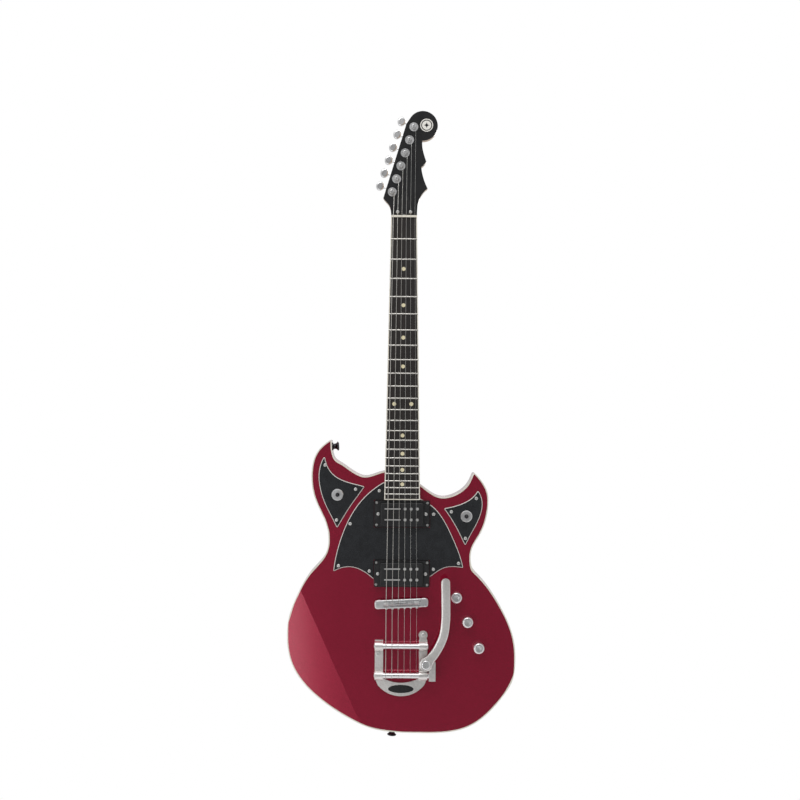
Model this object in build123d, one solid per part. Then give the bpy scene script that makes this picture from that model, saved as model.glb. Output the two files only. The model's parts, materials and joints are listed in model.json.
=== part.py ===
from build123d import *
from math import acos, atan2, cos, degrees, hypot, pi, radians, sin
import os

# Solid-body-outline electric guitar with two horns, a set neck and a lever vibrato tailpiece.
#
# The guitar is drawn lying on its back and stood upright as each piece is written out:
#   x  across the body, treble side positive
#   y  along the neck, headstock positive, zero at the nut's front edge
#   z  height above the body's flat top, so the body lies below zero
# Standing up, x stays, y becomes +Z, and the front of the guitar faces -Y.
# The origin is on the centreline at the nut's front edge, level with the body's top.
# All lengths are millimetres.

# ---- driving dimensions: strings and neck ----
SCALE_LENGTH = 628.65
FRET_COUNT = 22
STRING_SPREAD_NUT = 35.2
STRING_SPREAD_BRIDGE = 50.0
STRING_RADII = (0.58, 0.46, 0.33, 0.22, 0.17, 0.13)
NUT_WIDTH = 42.5
NUT_DEPTH = 3.3
BOARD_END_WIDTH = 58.5
BOARD_OVERHANG = 9.5
BOARD_RADIUS = 305.0
BOARD_THICKNESS = 6.5
BOARD_LIFT = 7.5
BOARD_BINDING = 1.6
FRET_WIDTH = 2.4
FRET_HEIGHT = 1.1
DOT_RADIUS = 3.2
DOT_DEPTH = 1.8
DOUBLE_DOT_SPREAD = 28.0
NUT_ACTION = 0.45
SADDLE_ACTION = 3.0
NECK_DEPTH_NUT = 14.5
NECK_DEPTH_HEEL = 16.5
HEEL_DROP = 36.0
HEEL_RUN = 46.0
TENON_WIDTH = 38.0
TENON_DEPTH = 24.0

# ---- driving dimensions: headstock and tuners ----
HEAD_TOP = 4.0
HEAD_THICKNESS = 14.0
VENEER = 1.5
HEAD_DISC_RADIUS = 24.4
EMBLEM_RADIUS = 10.6
EMBLEM_THICKNESS = 1.0
TUNER_PITCH = 22.5
TUNER_LEAN = 18.0
POST_RADIUS = 3.0
POST_HEIGHT = 9.5
WASHER_RADIUS = 7.2
WASHER_THICKNESS = 1.0
SLEEVE_RADIUS = 4.4
CUP_RADIUS = 8.2
CUP_DEPTH = 11.0
CUP_WALL = 1.0
GEAR_RADIUS = 3.9
GEAR_TEETH = 15
GEAR_WIDTH = 3.0
WORM_RADIUS = 1.5
WORM_OFFSET = 5.5
KEY_SHAFT_RADIUS = 1.4
BUTTON_REACH = 23.0
BUTTON_HALF_WIDTH = 6.6
BUTTON_HALF_LENGTH = 7.7
BUTTON_THICKNESS = 7.0

# ---- driving dimensions: body ----
BODY_WIDTH = 376.0
BODY_LENGTH = 482.0
BODY_DEPTH = 44.0
TOP_THICKNESS = 5.0
BODY_BINDING = 1.9
BACK_FLOOR = 6.0
BACK_ROUND = 2.0
HORN_TIP_ROUND = 2.5
ARM_BEVEL_ANGLE = 3.5
GUARD_THICKNESS = 2.4
GUARD_BEVEL = 1.1
GUARD_CORNER = 1.6
COVER_THICKNESS = 2.0
COVER_LEDGE = 6.0
CAVITY_MARGIN = 20.0

# ---- driving dimensions: pickups and bridge ----
RING_WIDTH = 92.0
RING_LENGTH = 45.0
RING_HEIGHT = 7.0
PICKUP_WIDTH = 69.5
PICKUP_LENGTH = 37.0
PICKUP_DEPTH = 13.0
STRING_GAP = 4.0
PICKUP_TO_BOARD = 1.2
BRIDGE_PICKUP_DISTANCE = 45.1
POLE_RADIUS = 2.4
POLE_ROW = 8.9
BRIDGE_WIDTH = 87.5
BRIDGE_LENGTH = 14.5
BRIDGE_BASE = 8.0
BRIDGE_TOP = 14.6
BRIDGE_POST_SPREAD = 73.2
BRIDGE_SLANT = 3.05
BRIDGE_BEHIND_SCALE = 2.6
BRIDGE_POST_RADIUS = 2.2
THUMBWHEEL_RADIUS = 7.5
SADDLE_WIDTH = 8.2
SADDLE_LENGTH = 7.0

# ---- driving dimensions: vibrato ----
VIBRATO_INNER = 29.4
VIBRATO_OUTER = 43.0
CHEEK_HEIGHT = 5.0
TENSION_BAR_RADIUS = 4.75
TENSION_BAR_BEHIND = 72.7
TENSION_BAR_HEIGHT = 10.0
STRING_BAR_RADIUS = 4.6
STRING_BAR_BEHIND = 120.2
STRING_BAR_HEIGHT = 12.0
BOSS_WALL = 3.0
ARM_PIVOT_X = 40.4
ARM_PIVOT_AHEAD = 19.9
ARM_WIDTH = 14.4
ARM_THICKNESS = 4.6
ARM_EYE_RADIUS = 10.8
ARM_BOLT_RADIUS = 3.0
BRACKET_LOW = 17.2
BRACKET_THICKNESS = 3.0
BOLT_FOOT = 2.0
SPRING_RADIUS = 4.8
SPRING_WALL = 1.6

# ---- driving dimensions: controls ----
KNOB_RADIUS = 9.1
KNOB_HEIGHT = 15.0
SHAFT_RADIUS = 3.0
POT_RADIUS = 8.5
POT_DEPTH = 9.0
SWITCH_RING_RADIUS = 9.6
SWITCH_BUSHING_RADIUS = 5.0
SWITCH_CAVITY_RADIUS = 12.0
LEVER_RADIUS = 1.4
LEVER_HEIGHT = 13.0
JACK_BORE_RADIUS = 3.25
JACK_LENGTH = 28.0
JACK_PLATE_RADIUS = 13.0
BUTTON_HEAD_RADIUS = 7.5
BUTTON_NECK_RADIUS = 4.5
BUTTON_HEIGHT = 11.0

# ---- fits ----
RUNNING = 0.05
GAP = 0.2
SCREW_RADIUS = 1.3
SCREW_HEAD = 2.8
SCREW_HEAD_HEIGHT = 1.5
SCREW_SHORT_OF_CORE = 0.8
SCREW_END = SCREW_SHORT_OF_CORE - TOP_THICKNESS
JACK_DEPTH = BODY_DEPTH / 2

# ---- derived places ----
BOARD_TOP = BOARD_LIFT + BOARD_THICKNESS
RADIUS_CENTRE = BOARD_TOP - BOARD_RADIUS
LAST_FRET = SCALE_LENGTH * (1 - 2 ** (-FRET_COUNT / 12))
BOARD_END = -(LAST_FRET + BOARD_OVERHANG)
SADDLE_Y = -SCALE_LENGTH
BRIDGE_Y = SADDLE_Y - BRIDGE_BEHIND_SCALE
TENSION_Y = SADDLE_Y - TENSION_BAR_BEHIND
STRING_BAR_Y = SADDLE_Y - STRING_BAR_BEHIND
PIVOT_Y = STRING_BAR_Y + ARM_PIVOT_AHEAD
NECK_PICKUP_Y = BOARD_END - PICKUP_TO_BOARD - RING_LENGTH / 2
BRIDGE_PICKUP_Y = SADDLE_Y + BRIDGE_PICKUP_DISTANCE
PICKUP_PLACES = (NECK_PICKUP_Y, BRIDGE_PICKUP_Y)
HEAD_BACK = HEAD_TOP - HEAD_THICKNESS
VENEER_LOW = HEAD_TOP - VENEER
ALONG_TUNERS = Vector(sin(radians(TUNER_LEAN)), cos(radians(TUNER_LEAN)))
TOWARD_KEYS = Vector(-cos(radians(TUNER_LEAN)), sin(radians(TUNER_LEAN)))
FIRST_POST = Vector(-19.7, 42.9)
HEAD_DISC_CENTRE = Vector(29.9, 151.6)
EMBLEM_CENTRE = Vector(36.0, 152.6)
STRING_COUNT = len(STRING_RADII)
DRAWN_WIDTH = 376.0
DRAWN_LENGTH = 482.0
KEY_HEIGHT = HEAD_BACK - CUP_DEPTH / 2


# ---- shared shapes ----
def on_body(x, up):
    """A point of the body's drawing, up from the saddle line, stretched to this body's size."""
    return Vector(x * BODY_WIDTH / DRAWN_WIDTH, SADDLE_Y + up * BODY_LENGTH / DRAWN_LENGTH)


def prism(face, low, high):
    """The face raised from one height to another."""
    return extrude(Pos(0, 0, low) * face, amount=high - low)


def disc(x, y, radius, low, high):
    """An upright round bar."""
    return Pos(x, y, (low + high) / 2) * Cylinder(radius, high - low)


def block(x_low, x_high, y_low, y_high, low, high):
    """A box between corners."""
    middle = Pos((x_low + x_high) / 2, (y_low + y_high) / 2, (low + high) / 2)
    return middle * Box(x_high - x_low, y_high - y_low, high - low)


def cross_bar(x_low, x_high, y, z, radius):
    """A round bar lying across the body."""
    return Pos((x_low + x_high) / 2, y, z) * Rot(0, 90, 0) * Cylinder(radius, x_high - x_low)


def bar_between(start, end, radius):
    """A round bar from one point to another."""
    run = end - start
    place = Plane(origin=start + run * 0.5, z_dir=run)
    return place * Cylinder(radius, run.length)


def group(pieces):
    """Separate solids kept together."""
    return Compound(children=[solid for piece in pieces for solid in piece.solids()])


def one(shape):
    """The single solid of a shape."""
    return shape.solids()[0]


def write(name, shape):
    """Stand a piece upright and write it out."""
    export_step(Plane.XZ * shape, "parts/" + name + ".step")


def smooth(points, start, end):
    """A curve through points with its two end directions."""
    return Spline(*points, tangents=[Vector(*start), Vector(*end)])


def string_x(index, spread):
    """Sideways place of a string, bass side first."""
    return spread * (index / (STRING_COUNT - 1) - 0.5)


def crown(x):
    """How far the curved board has dropped at a distance from the centreline."""
    return x * x / (2 * BOARD_RADIUS)


def board_half_width(y):
    """Half the board's width at a place along it."""
    share = y / BOARD_END
    return (NUT_WIDTH + (BOARD_END_WIDTH - NUT_WIDTH) * share) / 2


def fret_y(number):
    """Place of a fret, each a twelfth root of two nearer the saddles."""
    return -SCALE_LENGTH * (1 - 2 ** (-number / 12))


def radius_bar(extra):
    """The long cylinder that the board's top is part of."""
    length = 2 * SCALE_LENGTH
    return Pos(0, 0, RADIUS_CENTRE) * Rot(90, 0, 0) * Cylinder(BOARD_RADIUS + extra, length)


def taper(inset, y_high, y_low):
    """The board's outline, narrowed by an inset."""
    top = board_half_width(y_high) - inset
    bottom = board_half_width(y_low) - inset
    return make_face(Polyline((-top, y_high), (top, y_high), (bottom, y_low), (-bottom, y_low), close=True))


# ---- body outline ----
def outline_edges():
    """Two-horned outline, anticlockwise: outer edge, both cutaways and the straight end under the neck."""
    horn_bass = on_body(-116.5, 264.9)
    horn_treble = on_body(117.8, 211.9)
    neck_bass = on_body(-29.6, 212.6)
    neck_treble = on_body(27.9, 192.0)
    down = (0, -1)
    upward = (0, 1)
    bass_horn_side = on_body(-149.2, 203.7)
    bass_waist = on_body(-120.4, 98.7)
    bass_bout = on_body(-188.0, -59.3)
    bottom = on_body(42.0, -217.1)
    treble_bout = on_body(188.0, -92.3)
    treble_waist = on_body(113.1, 71.7)
    treble_horn_side = on_body(142.0, 166.7)
    return [
        smooth([horn_bass, on_body(-136.5, 248.6), bass_horn_side], (-0.85, -0.5), down),
        smooth([bass_horn_side, on_body(-138.7, 156.0), bass_waist], down, down),
        smooth([bass_waist, on_body(-149.0, 46.4), on_body(-176.9, -4.3), bass_bout], down, down),
        smooth([bass_bout, on_body(-157.4, -140.3), on_body(-74.4, -199.3), bottom], down, (1, 0)),
        smooth([bottom, on_body(126.4, -198.0), on_body(173.4, -148.3), treble_bout], (1, 0), upward),
        smooth([treble_bout, on_body(164.3, -11.3), on_body(129.7, 37.6), treble_waist], upward, upward),
        smooth([treble_waist, on_body(125.9, 105.7), treble_horn_side], upward, upward),
        smooth([treble_horn_side, on_body(133.5, 193.7), horn_treble], upward, (-0.74, 0.67)),
        smooth(
            [horn_treble, on_body(109.0, 193.7), on_body(69.0, 170.6), neck_treble],
            (-0.5, -0.87),
            (-0.8, 0.6),
        ),
        Line(neck_treble, neck_bass),
        smooth(
            [neck_bass, on_body(-62.5, 204.2), on_body(-101.0, 225.5), horn_bass],
            (-0.95, -0.2),
            (0.0, 1.0),
        ),
    ]


def closed_outline(edges, tip_round):
    """The face inside the outline, with both horn tips rounded."""
    face = make_face(edges)
    tips = [edges[0] @ 0, edges[TREBLE_TIP_EDGE] @ 0]
    corners = [v for v in face.vertices() if min((Vector(*v) - tip).length for tip in tips) < 0.01]
    return fillet(corners, tip_round)


def inset_edges(edges, distance):
    """The outline drawn again inside itself, each corner on the bisector of its two edges."""
    corners = []
    for index, edge in enumerate(edges):
        before = edges[index - 1] % 1
        after = edge % 0
        inward = Vector(-before.Y - after.Y, before.X + after.X)
        corners.append((edge @ 0) + inward * (distance / (1 + before.dot(after))))
    drawn = []
    for index, edge in enumerate(edges):
        start = corners[index]
        end = corners[(index + 1) % len(corners)]
        if edge.geom_type == GeomType.LINE:
            drawn.append(Line(start, end))
            continue
        points = [start]
        for share in INSET_SHARES:
            run = edge % share
            points.append((edge @ share) + Vector(-run.Y, run.X) * distance)
        drawn.append(Spline(*points, end, tangents=[edge % 0, edge % 1]))
    return drawn


def bass_chamber():
    """Closed hollow in the bass side of the lower bout."""
    points = [on_body(-62, 40), on_body(-118, 40), on_body(-165, -50), on_body(-128, -150), on_body(-62, -170)]
    return make_face(Spline(*points, periodic=True))


def treble_chamber():
    """Closed hollow in the treble side, below the control cavity."""
    points = [on_body(62, -118), on_body(130, -124), on_body(128, -160), on_body(66, -178)]
    return make_face(Spline(*points, periodic=True))


KNOB_PLACES = (on_body(90.1, 7.3), on_body(108.6, -32.8), on_body(127.2, -75.1))
SWITCH_PLACES = (on_body(-106.2, 173.9), on_body(105.8, 139.9))
CAVITY_CENTRE = (KNOB_PLACES[0] + KNOB_PLACES[2]) * 0.5
CAVITY_RUN = KNOB_PLACES[2] - KNOB_PLACES[0]
CAVITY_TURN = atan2(CAVITY_RUN.Y, CAVITY_RUN.X)
CAVITY_LENGTH = CAVITY_RUN.length + 2 * POT_RADIUS + CAVITY_MARGIN
CAVITY_WIDTH = 2 * POT_RADIUS + CAVITY_MARGIN


def control_cavity(extra):
    """Long rounded cavity that holds the three pots."""
    shape = SlotOverall(CAVITY_LENGTH + 2 * extra, CAVITY_WIDTH + 2 * extra)
    return Pos(CAVITY_CENTRE.X, CAVITY_CENTRE.Y) * Rot(0, 0, degrees(CAVITY_TURN)) * shape


def pickup_opening(y, extra):
    """Opening for one pickup and its two height-screw legs."""
    main = Rectangle(PICKUP_WIDTH + 2 * extra, PICKUP_LENGTH + 2 * extra)
    legs = Rectangle(RING_WIDTH - 8, 14)
    return Pos(0, y) * (main + legs)


# ---- screws ----
def cover_screw_places():
    """Places of the screws round the back covers."""
    turn = CAVITY_TURN
    reach = (CAVITY_LENGTH + COVER_LEDGE) / 2
    side = (CAVITY_WIDTH + COVER_LEDGE) / 2
    lengthways = Vector(cos(turn), sin(turn)) * reach
    sideways = Vector(-sin(turn), cos(turn)) * side
    places = [CAVITY_CENTRE + lengthways, CAVITY_CENTRE - lengthways]
    places += [CAVITY_CENTRE + sideways, CAVITY_CENTRE - sideways]
    rim = SWITCH_CAVITY_RADIUS + COVER_LEDGE / 2
    for centre in SWITCH_PLACES:
        for angle in (90, 210, 330):
            places.append(centre + Vector(cos(radians(angle)), sin(radians(angle))) * rim)
    return places


GUARD_SCREWS = [
    on_body(-37.5, 181.0),
    on_body(-85.0, 126.5),
    on_body(52.0, 143.0),
    on_body(-103.8, 57.5),
    on_body(-53.0, 49.0),
    on_body(93.4, 62.5),
    on_body(52.0, 52.5),
    on_body(-126.8, 222.5),
    on_body(-76.5, 183.2),
    on_body(-107.5, 132.5),
    on_body(121.8, 169.5),
    on_body(81.0, 147.3),
    on_body(104.4, 103.7),
]
RING_SCREW_X = 41.9
RING_SCREW_Y = 18.2
HEIGHT_SCREW_X = 39.0
COVER_SCREWS = [Vector(-10.5, 9.8), Vector(10.5, 9.8)]
RING_SCREWS = [
    Vector(x, y + dy)
    for y in PICKUP_PLACES
    for x in (-RING_SCREW_X, RING_SCREW_X)
    for dy in (-RING_SCREW_Y, RING_SCREW_Y)
]
HEIGHT_SCREWS = [Vector(x, y) for y in PICKUP_PLACES for x in (-HEIGHT_SCREW_X, HEIGHT_SCREW_X)]
COVER_PLATE = 1.6


def screw(place, seat, end):
    """Domed screw with a cross slot, its head on the seat."""
    shank = disc(place.X, place.Y, SCREW_RADIUS, end, seat)
    head = Pos(place.X, place.Y, seat) * Cylinder(
        SCREW_HEAD, SCREW_HEAD_HEIGHT, align=(Align.CENTER, Align.CENTER, Align.MIN)
    )
    head = fillet(head.edges().group_by(Axis.Z)[-1], SCREW_HEAD_HEIGHT * 0.8)
    slot = Pos(place.X, place.Y, seat + SCREW_HEAD_HEIGHT) * (Box(3.2, 0.7, 1.4) + Box(0.7, 3.2, 1.4))
    return one(head + shank - slot)


def back_screw(place):
    """Screw driven into the back."""
    shape = screw(Vector(0, 0), 0, -8)
    return Pos(place.X, place.Y, -BODY_DEPTH) * Rot(180, 0, 0) * shape


def screw_holes(places, low, high):
    """Clearance holes for screws."""
    return [disc(p.X, p.Y, SCREW_RADIUS + RUNNING, low, high) for p in places]


# ---- body ----
TREBLE_TIP_EDGE = 8
INSET_SHARES = (0.16, 0.28, 0.39, 0.5, 0.61, 0.72, 0.84)
EDGES = outline_edges()
OUTLINE = closed_outline(EDGES, HORN_TIP_ROUND)
INSET = closed_outline(inset_edges(EDGES, BODY_BINDING), HORN_TIP_ROUND - BODY_BINDING)
TENON = (-TENON_WIDTH / 2, TENON_WIDTH / 2, BOARD_END + 0.5, on_body(0, 225).Y)
UPPER_BUTTON_AT = 0.90


def strap_places():
    """Seats and directions of the two strap buttons."""
    inner_edge = smooth(
        [on_body(-29.6, 212.6), on_body(-62.5, 204.2), on_body(-101.0, 225.5), on_body(-116.5, 264.9)],
        (-0.95, -0.2),
        (0.0, 1.0),
    )
    seat = inner_edge @ UPPER_BUTTON_AT
    tangent = inner_edge % UPPER_BUTTON_AT
    outward = Vector(tangent.Y, -tangent.X)
    bottom_edge = smooth(
        [on_body(-188.0, -59.3), on_body(-157.4, -140.3), on_body(-74.4, -199.3), on_body(42.0, -217.1)],
        (0, -1),
        (1, 0),
    )
    low_seat = bottom_edge @ 0.82
    low_tangent = bottom_edge % 0.82
    low_outward = Vector(low_tangent.Y, -low_tangent.X)
    return [(seat, outward), (low_seat, low_outward)]


def strap_button(seat, outward):
    """Mushroom-shaped strap button with its screw head."""
    profile = make_face(
        [
            Line((0, 0.3), (6.5, 0.3)),
            Line((6.5, 0.3), (6.5, 1.3)),
            Spline(
                (6.5, 1.3),
                (BUTTON_NECK_RADIUS, 5.0),
                (BUTTON_HEAD_RADIUS, 8.6),
                tangents=[Vector(-1, 0.3), Vector(1, 0.5)],
            ),
            ThreePointArc((BUTTON_HEAD_RADIUS, 8.6), (BUTTON_HEAD_RADIUS - 0.3, 10.2), (5.0, BUTTON_HEIGHT)),
            Line((5.0, BUTTON_HEIGHT), (0, BUTTON_HEIGHT)),
            Line((0, BUTTON_HEIGHT), (0, 0.3)),
        ]
    )
    turned = revolve(profile, Axis.Y)
    origin = Vector(seat.X, seat.Y, -BODY_DEPTH / 2)
    place = Plane(origin=origin, x_dir=(0, 0, 1), z_dir=Vector(outward.X, outward.Y, 0))
    return one(place * Rot(90, 0, 0) * turned)


def jack_place():
    """The side of the treble bout where the jack is."""
    return on_body(188.0, -92.3)


def arm_bevel():
    """Slanted block that takes the shallow forearm bevel off the bass side of the top."""
    start = on_body(-163.0, 10.0)
    along = (on_body(-84.0, -163.0) - start).normalized()
    outward = Vector(along.Y, -along.X)
    turn = radians(ARM_BEVEL_ANGLE)
    upright = Vector(outward.X * sin(turn), outward.Y * sin(turn), cos(turn))
    place = Plane(origin=start, x_dir=along, z_dir=upright)
    length = 2 * BODY_LENGTH
    return place * Box(length, length, 20, align=(Align.CENTER, Align.MAX, Align.MIN))


def make_body():
    """Chambered core, flat top and edge binding."""
    core = prism(OUTLINE, -BODY_DEPTH, -TOP_THICKNESS)
    back_edges = core.edges().group_by(Axis.Z)[0]
    core = fillet(back_edges, BACK_ROUND)
    core -= prism(bass_chamber(), -BODY_DEPTH + BACK_FLOOR, 0)
    core -= prism(treble_chamber(), -BODY_DEPTH + BACK_FLOOR, 0)
    core -= prism(control_cavity(0), -BODY_DEPTH - 1, 0)
    core -= prism(control_cavity(COVER_LEDGE), -BODY_DEPTH - 1, -BODY_DEPTH + COVER_THICKNESS + GAP)
    top_cuts = []
    for centre in SWITCH_PLACES:
        core -= disc(centre.X, centre.Y, SWITCH_CAVITY_RADIUS, -BODY_DEPTH - 1, 0)
        rim = SWITCH_CAVITY_RADIUS + COVER_LEDGE
        core -= disc(centre.X, centre.Y, rim, -BODY_DEPTH - 1, -BODY_DEPTH + COVER_THICKNESS + GAP)
        top_cuts.append(disc(centre.X, centre.Y, SWITCH_BUSHING_RADIUS + GAP, -TOP_THICKNESS - 1, 1))
    for y in PICKUP_PLACES:
        opening = prism(pickup_opening(y, 1.0), -PICKUP_DEPTH - 4, 1)
        core -= opening
        top_cuts.append(opening)
    tenon = block(
        TENON[0] - RUNNING, TENON[1] + RUNNING, TENON[2] - RUNNING, TENON[3], -TENON_DEPTH - RUNNING, 1
    )
    core -= tenon
    top_cuts.append(tenon)
    jack = jack_place()
    tunnel = cross_bar(jack.X - 60, jack.X + 5, jack.Y, -JACK_DEPTH, 8.0 + GAP)
    recess = cross_bar(jack.X - 2.0, jack.X + 5, jack.Y, -JACK_DEPTH, JACK_PLATE_RADIUS + GAP)
    core -= tunnel + recess
    for x in (-BRIDGE_POST_SPREAD / 2, BRIDGE_POST_SPREAD / 2):
        place = bridge_point(x, 0)
        hole = disc(place.X, place.Y, 5.5 + RUNNING, -18.1, 1)
        core -= hole
        top_cuts.append(hole)
    for place in cover_screw_places():
        core -= disc(place.X, place.Y, SCREW_RADIUS + RUNNING, -BODY_DEPTH - 1, -BODY_DEPTH + 9)
    for place in KNOB_PLACES:
        top_cuts.append(disc(place.X, place.Y, 4.0 + GAP, -TOP_THICKNESS - 1, 1))
    for place in vibrato_screw_places():
        top_cuts.append(disc(place.X, place.Y, 2.0 + RUNNING, -TOP_THICKNESS - 1, 1))
        core -= disc(place.X, place.Y, 2.0 + RUNNING, -16, 0)
    top = prism(INSET, -TOP_THICKNESS, 0)
    top_cuts += screw_holes(GUARD_SCREWS + RING_SCREWS, -TOP_THICKNESS - 1, 1)
    top = top - top_cuts
    ring = prism(OUTLINE, -TOP_THICKNESS, 0) - prism(INSET, -TOP_THICKNESS - 1, 1)
    return core, top - arm_bevel(), ring - tenon - arm_bevel()


def make_back_covers():
    """Control cover and two round switch covers, let into the back."""
    low = -BODY_DEPTH
    high = -BODY_DEPTH + COVER_THICKNESS
    covers = [prism(control_cavity(COVER_LEDGE - GAP), low, high)]
    for centre in SWITCH_PLACES:
        rim = SWITCH_CAVITY_RADIUS + COVER_LEDGE - GAP
        covers.append(disc(centre.X, centre.Y, rim, low, high))
    holes = screw_holes(cover_screw_places(), low - 1, high + 1)
    return group([cover - holes for cover in covers])


# ---- plates on the top ----
def bevelled(face):
    """A plate with rounded corners and its upper edge bevelled."""
    plate = prism(fillet(face.vertices(), GUARD_CORNER), 0, GUARD_THICKNESS)
    rim = plate.edges().group_by(Axis.Z)[-1]
    return chamfer(rim, GUARD_BEVEL)


def make_pickguard():
    """Wide plate round both pickups, its lower edge scalloped."""
    bass_top = on_body(-30.4, 195.0)
    bass_tip = on_body(-112.3, 47.2)
    treble_top = on_body(30.4, 168.0)
    treble_tip = on_body(101.3, 54.9)
    bass_in = on_body(-44.0, 34.0)
    treble_in = on_body(44.0, 38.0)
    face = make_face(
        [
            smooth([bass_top, on_body(-77.1, 151.5), on_body(-103.8, 91.0), bass_tip], (-0.86, -0.5), (-0.1, -1)),
            smooth([bass_tip, on_body(-88.0, 55.3), bass_in], (0.83, 0.55), (0.75, -0.66)),
            Line(bass_in, treble_in),
            smooth([treble_in, on_body(70.0, 54.6), treble_tip], (0.82, 0.57), (1, -0.18)),
            smooth([treble_tip, on_body(84.0, 103.9), on_body(54.1, 152.4), treble_top], (-0.2, 1), (-0.9, 0.42)),
            Line(treble_top, bass_top),
        ]
    )
    plate = bevelled(face)
    neck_cut = prism(taper(-GAP, 0, BOARD_END - 0.3), -1, GUARD_THICKNESS + 1)
    cuts = [neck_cut]
    for y in PICKUP_PLACES:
        ring = Pos(0, y) * Rectangle(RING_WIDTH + 2 * GAP, RING_LENGTH + 2 * GAP)
        cuts.append(prism(ring, -1, GUARD_THICKNESS + 1))
    cuts += screw_holes(GUARD_SCREWS[:7], -1, GUARD_THICKNESS + 1)
    pieces = (plate - cuts).solids().sort_by(SortBy.VOLUME)
    return pieces[-1]


def make_horn_guards():
    """The two four-sided plates in the horns, with curved edges."""
    top = on_body(-127.4, 238.2)
    side = on_body(-137.0, 197.0)
    foot = on_body(-106.6, 118.6)
    corner = on_body(-61.6, 187.6)
    bass = make_face(
        [
            smooth([top, side, on_body(-126.8, 159.0), foot], (-0.55, -0.83), (0.42, -0.91)),
            smooth([foot, on_body(-84.4, 155.4), corner], (0.5, 0.87), (0.56, 0.83)),
            smooth([corner, on_body(-96.1, 197.2), top], (-0.95, 0.3), (-0.1, 1)),
        ]
    )
    crest = on_body(124.4, 182.6)
    flank = on_body(132.0, 157.0)
    base = on_body(104.2, 91.2)
    inner = on_body(68.4, 152.6)
    treble = make_face(
        [
            smooth([inner, on_body(101.9, 162.2), crest], (0.98, 0.17), (0.45, 0.89)),
            smooth([crest, flank, on_body(121.4, 124.5), base], (0.6, -0.8), (-0.42, -0.91)),
            smooth([base, on_body(91.4, 117.0), inner], (-0.45, 0.89), (-0.62, 0.78)),
        ]
    )
    guards = []
    for face, centre in zip((bass, treble), SWITCH_PLACES):
        hole = disc(centre.X, centre.Y, SWITCH_BUSHING_RADIUS + GAP, -1, GUARD_THICKNESS + 1)
        holes = [hole] + screw_holes(GUARD_SCREWS[7:], -1, GUARD_THICKNESS + 1)
        guards.append(one(bevelled(face) - holes))
    return guards


# ---- neck ----
def neck_section(y, half_width, drop):
    """D-shaped cross-section of the neck wood."""
    place = Plane(origin=(0, y, 0), x_dir=(1, 0, 0), z_dir=(0, -1, 0))
    low = BOARD_LIFT - drop
    curve = Spline(
        (-half_width, BOARD_LIFT),
        (0, low),
        (half_width, BOARD_LIFT),
        tangents=[Vector(0, -1), Vector(1, 0), Vector(0, 1)],
        tangent_scalars=[1.1, 0.9, 1.1],
    )
    flat = Line((half_width, BOARD_LIFT), (-half_width, BOARD_LIFT))
    return place * make_face([curve, flat])


HEAD_POINTS = {
    "corner": (-34.3, 32.7),
    "line_end": (2.2, 152.8),
    "notch_disc": (29.3, 127.4),
    "barb_one": (35.8, 92.7),
    "notch_one": (27.7, 84.0),
    "barb_two": (38.2, 48.8),
}
DISC_START = 150.0


def head_outline():
    """Leaning headstock that ends in a disc, with two barbs on the treble side."""
    half = NUT_WIDTH / 2
    corner = HEAD_POINTS["corner"]
    line_end = HEAD_POINTS["line_end"]
    centre = HEAD_DISC_CENTRE
    start = centre + Vector(cos(radians(DISC_START)), sin(radians(DISC_START))) * HEAD_DISC_RADIUS
    top = centre + Vector(0.5, 0.866) * HEAD_DISC_RADIUS
    notch = Vector(*HEAD_POINTS["notch_disc"]) - centre
    notch = centre + notch.normalized() * HEAD_DISC_RADIUS
    right = centre + Vector(0.94, -0.342) * HEAD_DISC_RADIUS
    edge_run = (line_end[0] - corner[0], line_end[1] - corner[1])
    top_tangent = (0.866, -0.5)
    edges = [
        smooth([(-half, NUT_DEPTH), (-24.6, 20.6), corner], (0, 1), (-0.5, 0.87)),
        Line(corner, line_end),
        smooth([line_end, start], edge_run, (0.5, 0.866)),
        ThreePointArc(start, centre + Vector(-0.342, 0.94) * HEAD_DISC_RADIUS, top),
        ThreePointArc(top, right, notch),
        smooth([notch, HEAD_POINTS["barb_one"]], (-0.15, -1), (0.3, -0.95)),
        smooth([HEAD_POINTS["barb_one"], HEAD_POINTS["notch_one"]], (-0.5, -0.8), (-1, -0.5)),
        smooth([HEAD_POINTS["notch_one"], HEAD_POINTS["barb_two"]], (0.1, -1), (0.45, -0.9)),
        smooth([HEAD_POINTS["barb_two"], (23.4, 27.0), (half, NUT_DEPTH)], (-0.8, -0.6), (0, -1)),
        Line((half, NUT_DEPTH), (-half, NUT_DEPTH)),
    ]
    return make_face(edges)


HEAD_OUTLINE = head_outline()
CHANNEL_WIDTH = 6.4
CHANNEL_LOW = -2.6
CHANNEL_END = 26.0
ROD_RADIUS = 2.8


def channel():
    """Slot for the truss rod, open under the board and at the headstock."""
    half = CHANNEL_WIDTH / 2
    return block(-half, half, BOARD_END + 30, CHANNEL_END, CHANNEL_LOW, BOARD_LIFT + 2)


def post_place(index):
    """Centre of one tuner's post."""
    return FIRST_POST + ALONG_TUNERS * (TUNER_PITCH * index)


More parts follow.
